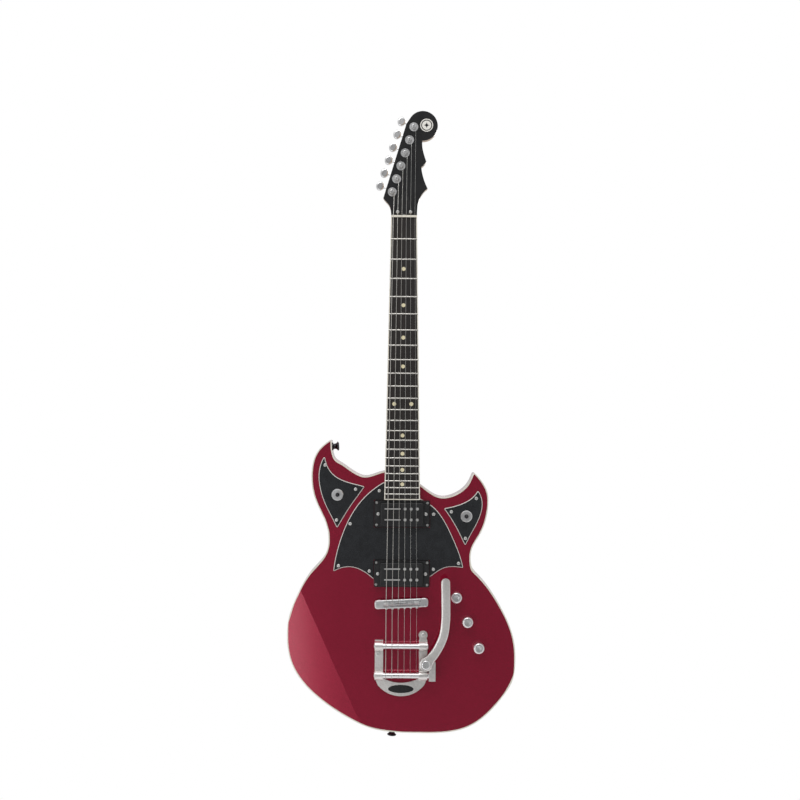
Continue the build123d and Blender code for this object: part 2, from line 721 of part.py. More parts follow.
def make_neck():
    """Neck, heel, tenon and headstock in one length of wood."""
    joint = on_body(0, 203).Y
    shaft_end = joint + HEEL_RUN
    volute = -36.0
    head_end = neck_section(NUT_DEPTH, NUT_WIDTH / 2, BOARD_LIFT - HEAD_BACK)
    first = neck_section(volute, board_half_width(volute), NECK_DEPTH_NUT)
    last = neck_section(shaft_end, board_half_width(shaft_end), NECK_DEPTH_HEEL)
    neck = loft([head_end, first]) + loft([first, last])
    drop = BOARD_LIFT - NECK_DEPTH_HEEL
    heel_end = BOARD_END + 2
    overlap = 20
    heel_side = make_face(
        [
            Line((shaft_end + overlap, BOARD_LIFT), (shaft_end + overlap, drop + 4.0)),
            Line((shaft_end + overlap, drop + 4.0), (shaft_end, drop)),
            smooth([(shaft_end, drop), (joint + 4, -HEEL_DROP)], (-1, -0.1), (-0.35, -1)),
            Line((joint + 4, -HEEL_DROP), (heel_end, -HEEL_DROP)),
            Line((heel_end, -HEEL_DROP), (heel_end, BOARD_LIFT)),
            Line((heel_end, BOARD_LIFT), (shaft_end + overlap, BOARD_LIFT)),
        ]
    )
    heel_half = board_half_width(joint)
    heel = extrude(Plane.YZ * heel_side, amount=heel_half, both=True)
    heel = heel & prism(taper(0.0, shaft_end + overlap, BOARD_END), -BODY_DEPTH, BOARD_LIFT)
    neck += heel
    neck += prism(taper(0, joint + 30, BOARD_END), 0, BOARD_LIFT)
    neck -= prism(OUTLINE, -BODY_DEPTH - 1, 0)
    neck += block(TENON[0], TENON[1], TENON[2], TENON[3] - 12, -TENON_DEPTH, 0.5)
    neck += block(-NUT_WIDTH / 2, NUT_WIDTH / 2, 0, NUT_DEPTH, VENEER_LOW - 2, BOARD_LIFT)
    neck += prism(HEAD_OUTLINE, HEAD_BACK, VENEER_LOW)
    holes = []
    for index in range(STRING_COUNT):
        place = post_place(index)
        holes.append(disc(place.X, place.Y, SLEEVE_RADIUS + RUNNING, HEAD_BACK - 1, HEAD_TOP + 1))
    neck = neck - holes - channel()
    return one(neck - screw_holes(COVER_SCREWS, -2, HEAD_TOP))


def make_head_face():
    """Thin black face of the headstock."""
    face = prism(HEAD_OUTLINE, VENEER_LOW, HEAD_TOP)
    cuts = [channel()]
    for index in range(STRING_COUNT):
        place = post_place(index)
        cuts.append(disc(place.X, place.Y, SLEEVE_RADIUS + RUNNING, 0, HEAD_TOP + 1))
    return one(face - cuts - screw_holes(COVER_SCREWS, 0, HEAD_TOP + 1))


def make_emblem():
    """Plain round metal badge with a raised rim."""
    base = disc(EMBLEM_CENTRE.X, EMBLEM_CENTRE.Y, EMBLEM_RADIUS, HEAD_TOP, HEAD_TOP + EMBLEM_THICKNESS)
    dish = disc(
        EMBLEM_CENTRE.X, EMBLEM_CENTRE.Y, EMBLEM_RADIUS - 1.4, HEAD_TOP + 0.6, HEAD_TOP + EMBLEM_THICKNESS + 1
    )
    return one(base - dish)


def make_truss_rod():
    """Steel rod with its adjusting nut at the headstock."""
    height = CHANNEL_LOW + ROD_RADIUS + 0.2
    start = Vector(0, CHANNEL_END - 12, height)
    rod = bar_between(Vector(0, BOARD_END + 31, height), start, ROD_RADIUS)
    nut = Pos(0, CHANNEL_END - 8, height) * Rot(90, 0, 0) * extrude(RegularPolygon(2.9, 6), amount=4, both=True)
    return one(rod + nut)


def make_rod_cover():
    """Bell-shaped cover over the truss rod's nut."""
    low = HEAD_TOP
    face = make_face(
        [
            Line((-14.4, 6.8), (14.4, 6.8)),
            smooth([(14.4, 6.8), (11.4, 22.0), (1.0, 44.5)], (-0.1, 1), (-0.62, 0.78)),
            smooth([(1.0, 44.5), (-10.6, 22.0), (-14.4, 6.8)], (-0.62, -0.78), (-0.1, -1)),
        ]
    )
    cover = prism(face, low, low + COVER_PLATE)
    return one(cover - screw_holes(COVER_SCREWS, low - 1, low + COVER_PLATE + 1))


# ---- fretboard ----
def dot_places():
    """Where the position dots lie between frets."""
    places = []
    for number in (3, 5, 7, 9, 15, 17, 19, 21):
        places.append((0, (fret_y(number) + fret_y(number - 1)) / 2))
    octave = (fret_y(12) + fret_y(11)) / 2
    places.append((-DOUBLE_DOT_SPREAD / 2, octave))
    places.append((DOUBLE_DOT_SPREAD / 2, octave))
    return places


def make_board():
    """Dark board, pale edging along three sides, dots and frets."""
    surface = radius_bar(0)
    inner = taper(BOARD_BINDING, 0, BOARD_END + BOARD_BINDING)
    outer = taper(0, 0, BOARD_END)
    board = prism(inner, BOARD_LIFT, BOARD_TOP + 1) & surface
    edging = (prism(outer, BOARD_LIFT, BOARD_TOP + 1) & surface) - prism(inner, 0, BOARD_TOP + 2)
    floor = BOARD_TOP - DOT_DEPTH
    pins = [disc(x, y, DOT_RADIUS, floor, BOARD_TOP + 1) for x, y in dot_places()]
    dots = [pin & surface for pin in pins]
    frets = []
    for number in range(1, FRET_COUNT + 1):
        y = fret_y(number)
        place = Plane(origin=(0, y, BOARD_TOP), x_dir=(0, 1, 0), z_dir=(1, 0, 0))
        half = FRET_WIDTH / 2
        arch = ThreePointArc((-half, 0), (0, FRET_HEIGHT), (half, 0))
        section = place * make_face([arch, Line((half, 0), (-half, 0))])
        sweep_angle = degrees(2 * (board_half_width(y) - 0.3) / BOARD_RADIUS)
        axle = Axis((0, 0, RADIUS_CENTRE), (0, 1, 0))
        fret = revolve(section, axle, sweep_angle)
        frets.append(fret.rotate(axle, -sweep_angle / 2))
    return one(board - pins), one(edging), group(dots), group(frets)


def string_height_nut(index):
    """Height of a string's centre at the nut."""
    x = string_x(index, STRING_SPREAD_NUT)
    return BOARD_TOP - crown(x) + FRET_HEIGHT + NUT_ACTION + STRING_RADII[index]


def string_height_saddle(index):
    """Height of a string's centre at its saddle."""
    x = string_x(index, STRING_SPREAD_BRIDGE)
    return BOARD_TOP - crown(x) + FRET_HEIGHT + SADDLE_ACTION + STRING_RADII[index]


def make_nut():
    """Bone nut with six slots."""
    half = NUT_WIDTH / 2
    nut = block(-half, half, 0, NUT_DEPTH, BOARD_LIFT, BOARD_TOP + 6) & radius_bar(FRET_HEIGHT + 1.3)
    for index, radius in enumerate(STRING_RADII):
        x = string_x(index, STRING_SPREAD_NUT)
        z = string_height_nut(index)
        room = radius + 0.08
        nut -= block(x - room, x + room, -1, NUT_DEPTH + 1, z, BOARD_TOP + 8)
        nut -= Pos(x, 0, z) * Rot(90, 0, 0) * Cylinder(room, 4 * NUT_DEPTH)
        nut -= bar_between(
            Vector(x, NUT_DEPTH / 2, z), Vector(x, NUT_DEPTH + 6, z - 1.4), room + 0.1
        )
    return one(nut)


# ---- pickups ----
def string_height_at(y):
    """Height of the middle strings' undersides at a place between nut and saddle."""
    share = y / SADDLE_Y
    low = FRET_HEIGHT + NUT_ACTION
    return BOARD_TOP + low + (FRET_HEIGHT + SADDLE_ACTION - low) * share


def make_pickups():
    """Mounting rings, covers, rails and poles, bases and height screws."""
    rings = []
    covers = []
    poles = []
    bases = []
    screws = []
    for y in PICKUP_PLACES:
        top = string_height_at(y) - STRING_GAP
        outer = Pos(0, y) * RectangleRounded(RING_WIDTH, RING_LENGTH, 3.0)
        inner = Pos(0, y) * Rectangle(PICKUP_WIDTH + 2 * GAP, PICKUP_LENGTH + 2 * GAP)
        ring = extrude(outer, amount=RING_HEIGHT, taper=8) - prism(inner, -1, RING_HEIGHT + 1)
        ring_screws = [p for p in RING_SCREWS if abs(p.Y - y) < RING_LENGTH / 2]
        height_screws = [p for p in HEIGHT_SCREWS if abs(p.Y - y) < 1]
        counterbores = [disc(p.X, p.Y, SCREW_HEAD + 0.1, 2.8, RING_HEIGHT + 1) for p in ring_screws]
        ring = ring - counterbores - screw_holes(ring_screws + height_screws, -1, RING_HEIGHT + 1)
        rings.append(ring)
        body = Pos(0, y) * RectangleRounded(PICKUP_WIDTH, PICKUP_LENGTH, 2.5)
        cover = prism(body, -PICKUP_DEPTH, top)
        cover = fillet(cover.edges().group_by(Axis.Z)[-1], 1.2)
        base = prism(Pos(0, y) * Rectangle(PICKUP_WIDTH, PICKUP_LENGTH), -PICKUP_DEPTH - 1.5, -PICKUP_DEPTH)
        base += prism(
            Pos(0, y) * Rectangle(2 * HEIGHT_SCREW_X + 4, 8), -PICKUP_DEPTH - 1.5, -PICKUP_DEPTH
        )
        bases.append(base - screw_holes(height_screws, -PICKUP_DEPTH - 2, -PICKUP_DEPTH + 1))
        sockets = []
        for side in (-1, 1):
            row = y + side * POLE_ROW
            for index in (3, 4, 5):
                x = string_x(index, STRING_SPREAD_BRIDGE)
                sockets.append(disc(x, row, POLE_RADIUS, top - 3, top + 2))
                poles.append(disc(x, row, POLE_RADIUS, top - 3, top + 0.6))
            rail_low = string_x(0, STRING_SPREAD_BRIDGE) - 3.5
            rail_high = string_x(2, STRING_SPREAD_BRIDGE) + 2.5
            sockets.append(block(rail_low, rail_high, row - 1.0, row + 1.0, top - 3, top + 2))
            poles.append(block(rail_low, rail_high, row - 1.0, row + 1.0, top - 3, top + 0.4))
        covers.append(cover - sockets)
        for place in height_screws:
            screws.append(screw(place, RING_HEIGHT, -PICKUP_DEPTH - 3))
    return group(rings), group(covers), group(poles), group(bases), screws


# ---- bridge ----
def bridge_point(x, y):
    """A point of the slanted bridge, in the guitar's frame."""
    turn = radians(BRIDGE_SLANT)
    return Vector(x * cos(turn) - y * sin(turn), BRIDGE_Y + x * sin(turn) + y * cos(turn))


def bridge_place():
    """The slanted bridge's own place."""
    return Pos(0, BRIDGE_Y, 0) * Rot(0, 0, BRIDGE_SLANT)


def make_bridge():
    """Bridge bar with six notched saddles, their screws and the two posts."""
    place = bridge_place()
    half = BRIDGE_WIDTH / 2
    end = BRIDGE_LENGTH / 2
    face = RectangleRounded(BRIDGE_WIDTH, BRIDGE_LENGTH, 4.5)
    bar = prism(face, BRIDGE_BASE, BRIDGE_TOP)
    bar = fillet(bar.edges().group_by(Axis.Z)[-1], 1.6)
    pocket_half = STRING_SPREAD_BRIDGE / 2 + SADDLE_WIDTH / 2 + 0.4
    bar -= block(-pocket_half, pocket_half, -4.6, 4.6, BRIDGE_BASE + 1.8, BRIDGE_TOP + 1)
    posts = []
    for x in (-BRIDGE_POST_SPREAD / 2, BRIDGE_POST_SPREAD / 2):
        bar -= disc(x, 0, BRIDGE_POST_RADIUS + RUNNING, 0, BRIDGE_TOP + 1)
        post = disc(x, 0, BRIDGE_POST_RADIUS, -16, BRIDGE_TOP - 0.6)
        post -= Pos(x, 0, BRIDGE_TOP - 0.6) * Box(2 * BRIDGE_POST_RADIUS + 1, 0.9, 1.6)
        post += disc(x, 0, THUMBWHEEL_RADIUS, BRIDGE_BASE - 3.0, BRIDGE_BASE - 0.1)
        sleeve = disc(x, 0, 5.5, -18, 0.9) + disc(x, 0, 6.6, 0.1, 0.9)
        sleeve -= disc(x, 0, BRIDGE_POST_RADIUS + RUNNING, -16.2, 2)
        posts += [place * post, place * sleeve]
    saddles = []
    screws = []
    for index, radius in enumerate(STRING_RADII):
        x = string_x(index, STRING_SPREAD_BRIDGE)
        line = string_height_saddle(index)
        crest = line - radius - 0.03
        low = BRIDGE_BASE + 2.0
        side = make_face(
            Polyline(
                (-SADDLE_LENGTH / 2, low),
                (SADDLE_LENGTH / 2, low),
                (SADDLE_LENGTH / 2, BRIDGE_TOP - 0.6),
                (0.5, crest + 0.5),
                (-0.5, crest + 0.5),
                (-SADDLE_LENGTH / 2, BRIDGE_TOP - 0.6),
                close=True,
            )
        )
        saddle = Pos(x, 0, 0) * extrude(Plane.YZ * side, amount=SADDLE_WIDTH / 2 - 0.1, both=True)
        saddle -= block(x - radius - 0.1, x + radius + 0.1, -6, 6, crest, crest + 5)
        height = BRIDGE_BASE + 3.6
        saddle -= Pos(x, 0, height) * Rot(90, 0, 0) * Cylinder(0.9 + RUNNING, 30)
        bar -= Pos(x, 0, height) * Rot(90, 0, 0) * Cylinder(0.9 + RUNNING, 30)
        shank = Pos(x, 0, height) * Rot(90, 0, 0) * Cylinder(0.9, 2 * end + 0.6)
        head = Pos(x, -end - 0.8, height) * Rot(90, 0, 0) * Cylinder(1.9, 1.4)
        saddles.append(place * saddle)
        screws.append(place * (shank + head))
    return one(place * bar), group(saddles), group(screws), group(posts)


# ---- vibrato ----
def vibrato_screw_places():
    """The two visible fixing screws of the tailpiece."""
    return [Vector(36.0, SADDLE_Y - 55.6), Vector(-38.0, SADDLE_Y - 86.0)]


def make_vibrato_frame():
    """Two cheeks with bearing bosses, joined by a crescent at the back."""
    wide = VIBRATO_OUTER
    tension_boss = TENSION_BAR_RADIUS + BOSS_WALL
    string_boss = STRING_BAR_RADIUS + BOSS_WALL
    front = TENSION_Y + tension_boss + 1.5
    back = STRING_BAR_Y - string_boss - 1.5
    frame = None
    for low, high in ((-wide, -VIBRATO_INNER), (VIBRATO_INNER, wide)):
        cheek = block(low, high, back, front, 0, CHEEK_HEIGHT)
        cheek += cross_bar(low, high, TENSION_Y, TENSION_BAR_HEIGHT, tension_boss)
        cheek += cross_bar(low, high, STRING_BAR_Y, STRING_BAR_HEIGHT, string_boss)
        cheek += block(low, high, TENSION_Y - tension_boss, TENSION_Y + tension_boss, 0, TENSION_BAR_HEIGHT)
        cheek += block(low, high, STRING_BAR_Y - string_boss, STRING_BAR_Y + string_boss, 0, STRING_BAR_HEIGHT)
        frame = cheek if frame is None else frame + cheek
    ear = vibrato_screw_places()[0]
    frame += disc(ear.X, ear.Y, 7.3, 0, 3.4)
    frame += block(ear.X - 6, ear.X + 6, front - 2, ear.Y, 0, 3.4)
    bottom = STRING_BAR_Y - 35.4
    wing = STRING_BAR_Y - 17.4
    inner = STRING_BAR_Y - 13.5
    crescent = make_face(
        [
            ThreePointArc((-38, wing), (0, bottom), (38, wing)),
            Line((38, wing), (wide, back + 3)),
            Line((wide, back + 3), (VIBRATO_INNER, back + 3)),
            ThreePointArc((VIBRATO_INNER, back + 3), (0, inner), (-VIBRATO_INNER, back + 3)),
            Line((-VIBRATO_INNER, back + 3), (-wide, back + 3)),
            Line((-wide, back + 3), (-38, wing)),
        ]
    )
    frame += prism(crescent, 0, CHEEK_HEIGHT)
    frame -= cross_bar(-wide - 5, wide + 5, TENSION_Y, TENSION_BAR_HEIGHT, TENSION_BAR_RADIUS + RUNNING)
    frame -= cross_bar(-wide - 5, wide + 5, STRING_BAR_Y, STRING_BAR_HEIGHT, STRING_BAR_RADIUS + RUNNING)
    frame -= badge_shape(-0.3, 1.2)
    for place, seat in zip(vibrato_screw_places(), (3.4, CHEEK_HEIGHT)):
        frame -= disc(place.X, place.Y, 2.0 + RUNNING, -1, seat + 1)
    return one(frame)


def badge_shape(grow, rise):
    """Plain oval plate on the crescent."""
    oval = Ellipse(20.8 - grow, 6.4 - grow)
    return prism(Pos(0, STRING_BAR_Y - 23.6) * oval, CHEEK_HEIGHT - 1.0, CHEEK_HEIGHT - 1.0 + rise)


def make_vibrato_screws():
    """Fixing screws of the tailpiece."""
    screws = []
    for place, seat in zip(vibrato_screw_places(), (3.4, CHEEK_HEIGHT)):
        head = disc(place.X, place.Y, 4.0, seat, seat + 2.2)
        head = fillet(head.edges().group_by(Axis.Z)[-1], 1.6)
        slot = Pos(place.X, place.Y, seat + 2.2) * (Box(4.6, 0.9, 1.8) + Box(0.9, 4.6, 1.8))
        screws.append(head + disc(place.X, place.Y, 2.0, -15, seat) - slot)
    return group(screws)


def make_bars():
    """Roller that holds the strings down, and the rocking bar that they wrap over."""
    wide = VIBRATO_OUTER
    roller = cross_bar(-wide - 1.2, wide + 1.2, TENSION_Y, TENSION_BAR_HEIGHT, TENSION_BAR_RADIUS)
    roller = chamfer(roller.edges().filter_by(GeomType.CIRCLE), 1.1)
    rocker = cross_bar(-wide - 1.2, 56.0, STRING_BAR_Y, STRING_BAR_HEIGHT, STRING_BAR_RADIUS)
    rocker = chamfer(rocker.edges().filter_by(GeomType.CIRCLE).group_by(Axis.X)[0], 1.1)
    lean = radians(-72)
    away = Vector(0, -cos(lean), sin(lean))
    centre = Vector(0, STRING_BAR_Y, STRING_BAR_HEIGHT)
    for index in range(STRING_COUNT):
        x = string_x(index, STRING_SPREAD_BRIDGE)
        root = centre + Vector(x, 0, 0) + away * (STRING_BAR_RADIUS - 1)
        rocker += bar_between(root, root + away * 3.6, 0.9)
    return one(roller), one(rocker)


def make_bracket():
    """Bracket on the rocking bar's end, reaching forward over the spring."""
    high = BRACKET_LOW + BRACKET_THICKNESS
    hub = cross_bar(45.5, 56.3, STRING_BAR_Y, STRING_BAR_HEIGHT, 8.0)
    web = block(45.5, 56.3, STRING_BAR_Y - 8, PIVOT_Y + 4, BRACKET_LOW - 4, high)
    web += block(45.5, 56.3, STRING_BAR_Y - 8, STRING_BAR_Y + 8, STRING_BAR_HEIGHT, high)
    deck = disc(ARM_PIVOT_X, PIVOT_Y, ARM_EYE_RADIUS, BRACKET_LOW, high)
    deck += block(ARM_PIVOT_X, 50, PIVOT_Y - 10.5, PIVOT_Y + 9, BRACKET_LOW, high)
    deck -= block(0, 45.2, STRING_BAR_Y - 20, STRING_BAR_Y + 9.2, 0, high + 1)
    bracket = hub + web + deck
    bracket -= cross_bar(40, 56.0, STRING_BAR_Y, STRING_BAR_HEIGHT, STRING_BAR_RADIUS)
    bracket -= disc(ARM_PIVOT_X, PIVOT_Y, ARM_BOLT_RADIUS, 0, high + 1)
    return one(bracket)


ARM_LOW = BRACKET_LOW + BRACKET_THICKNESS + GAP
ARM_RISE = 11.0


def make_arm():
    """Curved flat lever that rises from its eye to a rounded tip."""
    points = [
        (ARM_PIVOT_X, PIVOT_Y),
        (57.0, PIVOT_Y + 21.5),
        (68.3, PIVOT_Y + 46.0),
        (72.0, PIVOT_Y + 72.5),
        (71.3, PIVOT_Y + 135.0),
    ]
    path = Spline(*points, tangents=[Vector(0.6, 0.8), Vector(-0.02, 1)])
    plan = trace(path, ARM_WIDTH)
    plan += Pos(points[0][0], points[0][1]) * Circle(ARM_EYE_RADIUS)
    plan += Pos(points[-1][0], points[-1][1]) * Circle(ARM_WIDTH / 2)
    blank = prism(plan, ARM_LOW - 1, ARM_LOW + ARM_RISE + ARM_THICKNESS + 3)
    back = PIVOT_Y - 14
    flat = PIVOT_Y + 8
    tip = PIVOT_Y + 150
    rise = ARM_LOW + ARM_RISE
    thick = ARM_THICKNESS
    side = make_face(
        [
            Line((back, ARM_LOW), (flat, ARM_LOW)),
            smooth([(flat, ARM_LOW), (tip, rise)], (1, 0), (1, 0.02)),
            Line((tip, rise), (tip, rise + thick)),
            smooth([(tip, rise + thick), (flat, ARM_LOW + thick)], (-1, -0.02), (-1, 0)),
            Line((flat, ARM_LOW + thick), (back, ARM_LOW + thick)),
            Line((back, ARM_LOW + thick), (back, ARM_LOW)),
        ]
    )
    band = extrude(Plane.YZ * side, amount=120, both=True)
    arm = blank & band
    return one(arm - disc(ARM_PIVOT_X, PIVOT_Y, ARM_BOLT_RADIUS + RUNNING, 0, 60))


def make_arm_bolt():
    """Bolt and cap that the arm swings on."""
    low = BRACKET_LOW - RUNNING
    seat = ARM_LOW + ARM_THICKNESS + GAP
    cap = disc(ARM_PIVOT_X, PIVOT_Y, 7.6, seat, seat + 3.0)
    cap = fillet(cap.edges().group_by(Axis.Z)[-1], 2.2)
    foot = disc(ARM_PIVOT_X, PIVOT_Y, 3.6, BRACKET_LOW - BOLT_FOOT, low)
    return one(cap + disc(ARM_PIVOT_X, PIVOT_Y, ARM_BOLT_RADIUS, low, seat) + foot)


def make_spring():
    """Outer shape of the coil spring under the bracket."""
    low = CHEEK_HEIGHT
    high = BRACKET_LOW - BOLT_FOOT - 0.1
    tube = disc(ARM_PIVOT_X, PIVOT_Y, SPRING_RADIUS, low, high)
    return one(tube - disc(ARM_PIVOT_X, PIVOT_Y, SPRING_RADIUS - SPRING_WALL, low - 1, high + 1))


# ---- strings ----
def arc_points(x, centre_y, centre_z, path_radius, start, sweep):
    """Points of a string's bend round a cross bar, on the bend's outer corners."""
    steps = max(2, int(abs(sweep) / STRING_TURN_STEP))
    corner = path_radius / cos(sweep / steps / 2)
    angles = [start + sweep * (step + 0.5) / steps for step in range(steps)]
    return [Vector(x, centre_y + corner * cos(a), centre_z + corner * sin(a)) for a in angles]


WRAP_GAP = 0.1
WRAP_END = radians(215)
STRING_TURN_STEP = radians(24)


def make_string(index):
    """One string from its post over the nut and its saddle to its wrap over the rocking bar."""
    wire = STRING_RADII[index]
    nut_point = Vector(string_x(index, STRING_SPREAD_NUT), NUT_DEPTH / 2, string_height_nut(index))
    ridge = bridge_point(string_x(index, STRING_SPREAD_BRIDGE), 0)
    saddle = Vector(ridge.X, ridge.Y, string_height_saddle(index))
    post = post_place(index)
    wrap = POST_RADIUS + WRAP_GAP + wire
    wrap_height = HEAD_TOP + WASHER_THICKNESS + 4.0
    coil_half = 3 * wire
    coil = disc(post.X, post.Y, wrap + wire, wrap_height - coil_half, wrap_height + coil_half)
    coil -= disc(post.X, post.Y, POST_RADIUS + WRAP_GAP, 0, wrap_height + 5)
    off_post = Vector(post.X + wrap, post.Y, wrap_height)
    leave = off_post + (nut_point - off_post).normalized() * (2.5 * POST_RADIUS * wire ** 0.5)
    under = TENSION_BAR_RADIUS + WRAP_GAP + wire
    over = STRING_BAR_RADIUS + WRAP_GAP + wire
    toward = Vector(TENSION_Y - saddle.Y, TENSION_BAR_HEIGHT - saddle.Z)
    first = atan2(toward.Y, toward.X) + pi + acos(under / hypot(toward.X, toward.Y))
    between = Vector(STRING_BAR_Y - TENSION_Y, STRING_BAR_HEIGHT - TENSION_BAR_HEIGHT)
    reach = acos((under + over) / hypot(between.X, between.Y))
    second = atan2(between.Y, between.X) + reach
    bend = (second - first + pi) % (2 * pi) - pi
    start_bar = (second - pi) % (2 * pi)
    x = saddle.X
    points = [leave, nut_point, saddle]
    points += arc_points(x, TENSION_Y, TENSION_BAR_HEIGHT, under, first, bend)
    points += arc_points(x, STRING_BAR_Y, STRING_BAR_HEIGHT, over, start_bar, WRAP_END - start_bar)
    path = Polyline(*points)
    section = Plane(origin=leave, z_dir=nut_point - leave) * Circle(wire)
    return group([sweep(section, path=path, transition=Transition.RIGHT), coil])


# ---- controls ----
def make_knob(place):
    """Domed knob and the shaft that turns with it."""
    low = 1.0
    knob = disc(place.X, place.Y, KNOB_RADIUS, low, low + KNOB_HEIGHT)
    knob = fillet(knob.edges().group_by(Axis.Z)[-1], 3.5)
    knob -= disc(place.X, place.Y, SHAFT_RADIUS, 0, low + KNOB_HEIGHT - 3)
    knob -= disc(place.X, place.Y, 7.0, 0, 4.0)
    shaft = disc(place.X, place.Y, SHAFT_RADIUS, -TOP_THICKNESS - POT_DEPTH + 2, low + KNOB_HEIGHT - 3)
    return group([knob, shaft])


def make_pots():
    """Cans of the three pots with their bushings and nuts."""
    pots = []
    for place in KNOB_PLACES:
        high = -TOP_THICKNESS - 0.05
        can = disc(place.X, place.Y, POT_RADIUS, high - POT_DEPTH, high)
        can += disc(place.X, place.Y, 4.0, high, 2.2)
        can += disc(place.X, place.Y, 5.6, 0.1, 2.0)
        can -= disc(place.X, place.Y, SHAFT_RADIUS + RUNNING, high - POT_DEPTH + 1.5, 4)
        pots.append(can)
    return group(pots)


def make_switches():
    """Bodies, bushings and ring nuts of the two toggle switches."""
    switches = []
    for place in SWITCH_PLACES:
        high = -TOP_THICKNESS - 0.05
        body = block(place.X - 6, place.X + 6, place.Y - 8, place.Y + 8, high - 20, high)
        body += disc(place.X, place.Y, SWITCH_BUSHING_RADIUS, high, 5.2)
        nut = disc(place.X, place.Y, SWITCH_RING_RADIUS, GUARD_THICKNESS + 0.05, GUARD_THICKNESS + 2.2)
        nut = chamfer(nut.edges().group_by(Axis.Z)[-1], 1.2)
        body += nut
        body -= disc(place.X, place.Y, 3.4, -3.0, 6)
        body -= Pos(place.X, place.Y, -3.0) * Sphere(3.4)
        switches.append(body)
    return group(switches)


LEVER_PIVOT = -3.0


def make_lever(place):
    """Switch lever on its ball, with a rounded tip."""
    tip = LEVER_HEIGHT
    lever = Pos(place.X, place.Y, LEVER_PIVOT) * Sphere(3.4 - RUNNING)
    lever += disc(place.X, place.Y, LEVER_RADIUS, LEVER_PIVOT, tip - 2)
    lever += Pos(place.X, place.Y, tip - 3.0) * Sphere(3.0)
    lever += disc(place.X, place.Y, 2.2, 7.0, tip - 3.0)
    return one(lever)


def make_jack():
    """Round jack plate and barrel in the treble side."""
    place = jack_place()
    face = place.X + 0.6
    jack = cross_bar(face - 2.4, face, place.Y, -JACK_DEPTH, JACK_PLATE_RADIUS)
    jack = chamfer(jack.edges().group_by(Axis.X)[-1], 0.8)
    jack += cross_bar(face - JACK_LENGTH, face - 2.4, place.Y, -JACK_DEPTH, 8.0)
    return one(jack - cross_bar(face - JACK_LENGTH - 1, face + 1, place.Y, -JACK_DEPTH, JACK_BORE_RADIUS))


# ---- tuners ----
def tuner_parts():
    """Housing, bushing, post with gear and key of a tuner at the origin, front upward."""
    top = HEAD_BACK
    low = top - CUP_DEPTH
    middle = 2.2
    cup = disc(0, middle, CUP_RADIUS, low, top)
    cup = fillet(cup.edges().group_by(Axis.Z)[0], 2.0)
    collar_end = 11.5
    collar_room = KEY_SHAFT_RADIUS + 1.6
    cup += bar_between(Vector(0, WORM_OFFSET, KEY_HEIGHT), Vector(collar_end, WORM_OFFSET, KEY_HEIGHT), collar_room)
    cup -= disc(0, middle, CUP_RADIUS - CUP_WALL, low + CUP_WALL, top - CUP_WALL)
    cup -= disc(0, 0, POST_RADIUS + RUNNING, top - CUP_WALL - 1, top + 1)
    bore_end = Vector(collar_end + 1, WORM_OFFSET, KEY_HEIGHT)
    cup -= bar_between(Vector(0, WORM_OFFSET, KEY_HEIGHT), bore_end, KEY_SHAFT_RADIUS + RUNNING)
    bushing = disc(0, 0, WASHER_RADIUS, HEAD_TOP, HEAD_TOP + WASHER_THICKNESS)
    bushing = chamfer(bushing.edges().group_by(Axis.Z)[-1], 0.5)
    bushing += disc(0, 0, SLEEVE_RADIUS, HEAD_BACK + 2, HEAD_TOP)
    bushing -= disc(0, 0, POST_RADIUS + RUNNING, HEAD_BACK, HEAD_TOP + 2)
    post_top = HEAD_TOP + POST_HEIGHT
    post = disc(0, 0, POST_RADIUS, top - CUP_WALL, post_top)
    post = fillet(post.edges().group_by(Axis.Z)[-1], 1.0)
    post -= Pos(0, 0, post_top) * Box(1.2, 8, 5)
    post += disc(0, 0, 2.0, low + CUP_WALL + 0.1, top - CUP_WALL)
    teeth = disc(0, 0, GEAR_RADIUS - 0.7, KEY_HEIGHT - GEAR_WIDTH / 2, KEY_HEIGHT + GEAR_WIDTH / 2)
    for tooth in range(GEAR_TEETH):
        crest = Pos(GEAR_RADIUS - 0.6, 0, KEY_HEIGHT) * Box(1.2, 0.7, GEAR_WIDTH)
        crest &= disc(0, 0, GEAR_RADIUS, KEY_HEIGHT - GEAR_WIDTH, KEY_HEIGHT + GEAR_WIDTH)
        teeth += Rot(0, 0, tooth * 360 / GEAR_TEETH) * crest
    post += teeth
    inner_end = Vector(-5.0, WORM_OFFSET, KEY_HEIGHT)
    outer_end = Vector(BUTTON_REACH, WORM_OFFSET, KEY_HEIGHT)
    key = bar_between(inner_end, outer_end, KEY_SHAFT_RADIUS)
    worm_half = Vector(3.4, 0, 0)
    worm_centre = Vector(0, WORM_OFFSET, KEY_HEIGHT)
    key += bar_between(worm_centre - worm_half, worm_centre + worm_half, WORM_RADIUS)
    button = Pos(BUTTON_REACH, WORM_OFFSET) * Ellipse(BUTTON_HALF_WIDTH, BUTTON_HALF_LENGTH)
    half = BUTTON_THICKNESS / 2
    button = prism(button, KEY_HEIGHT - half, KEY_HEIGHT + half)
    button = fillet(button.edges(), 2.4)
    neck_start = Vector(BUTTON_REACH - BUTTON_HALF_WIDTH - 2.2, WORM_OFFSET, KEY_HEIGHT)
    key += button + bar_between(neck_start, outer_end, 2.4)
    return one(cup), one(bushing), one(post), one(key)


def place_tuner(index, shape):
    """A tuner's piece moved to its place and turned so that its key points off the bass edge."""
    place = post_place(index)
    turned = mirror(shape, about=Plane.XZ)
    return Pos(place.X, place.Y, 0) * Rot(0, 0, 180 - TUNER_LEAN) * turned


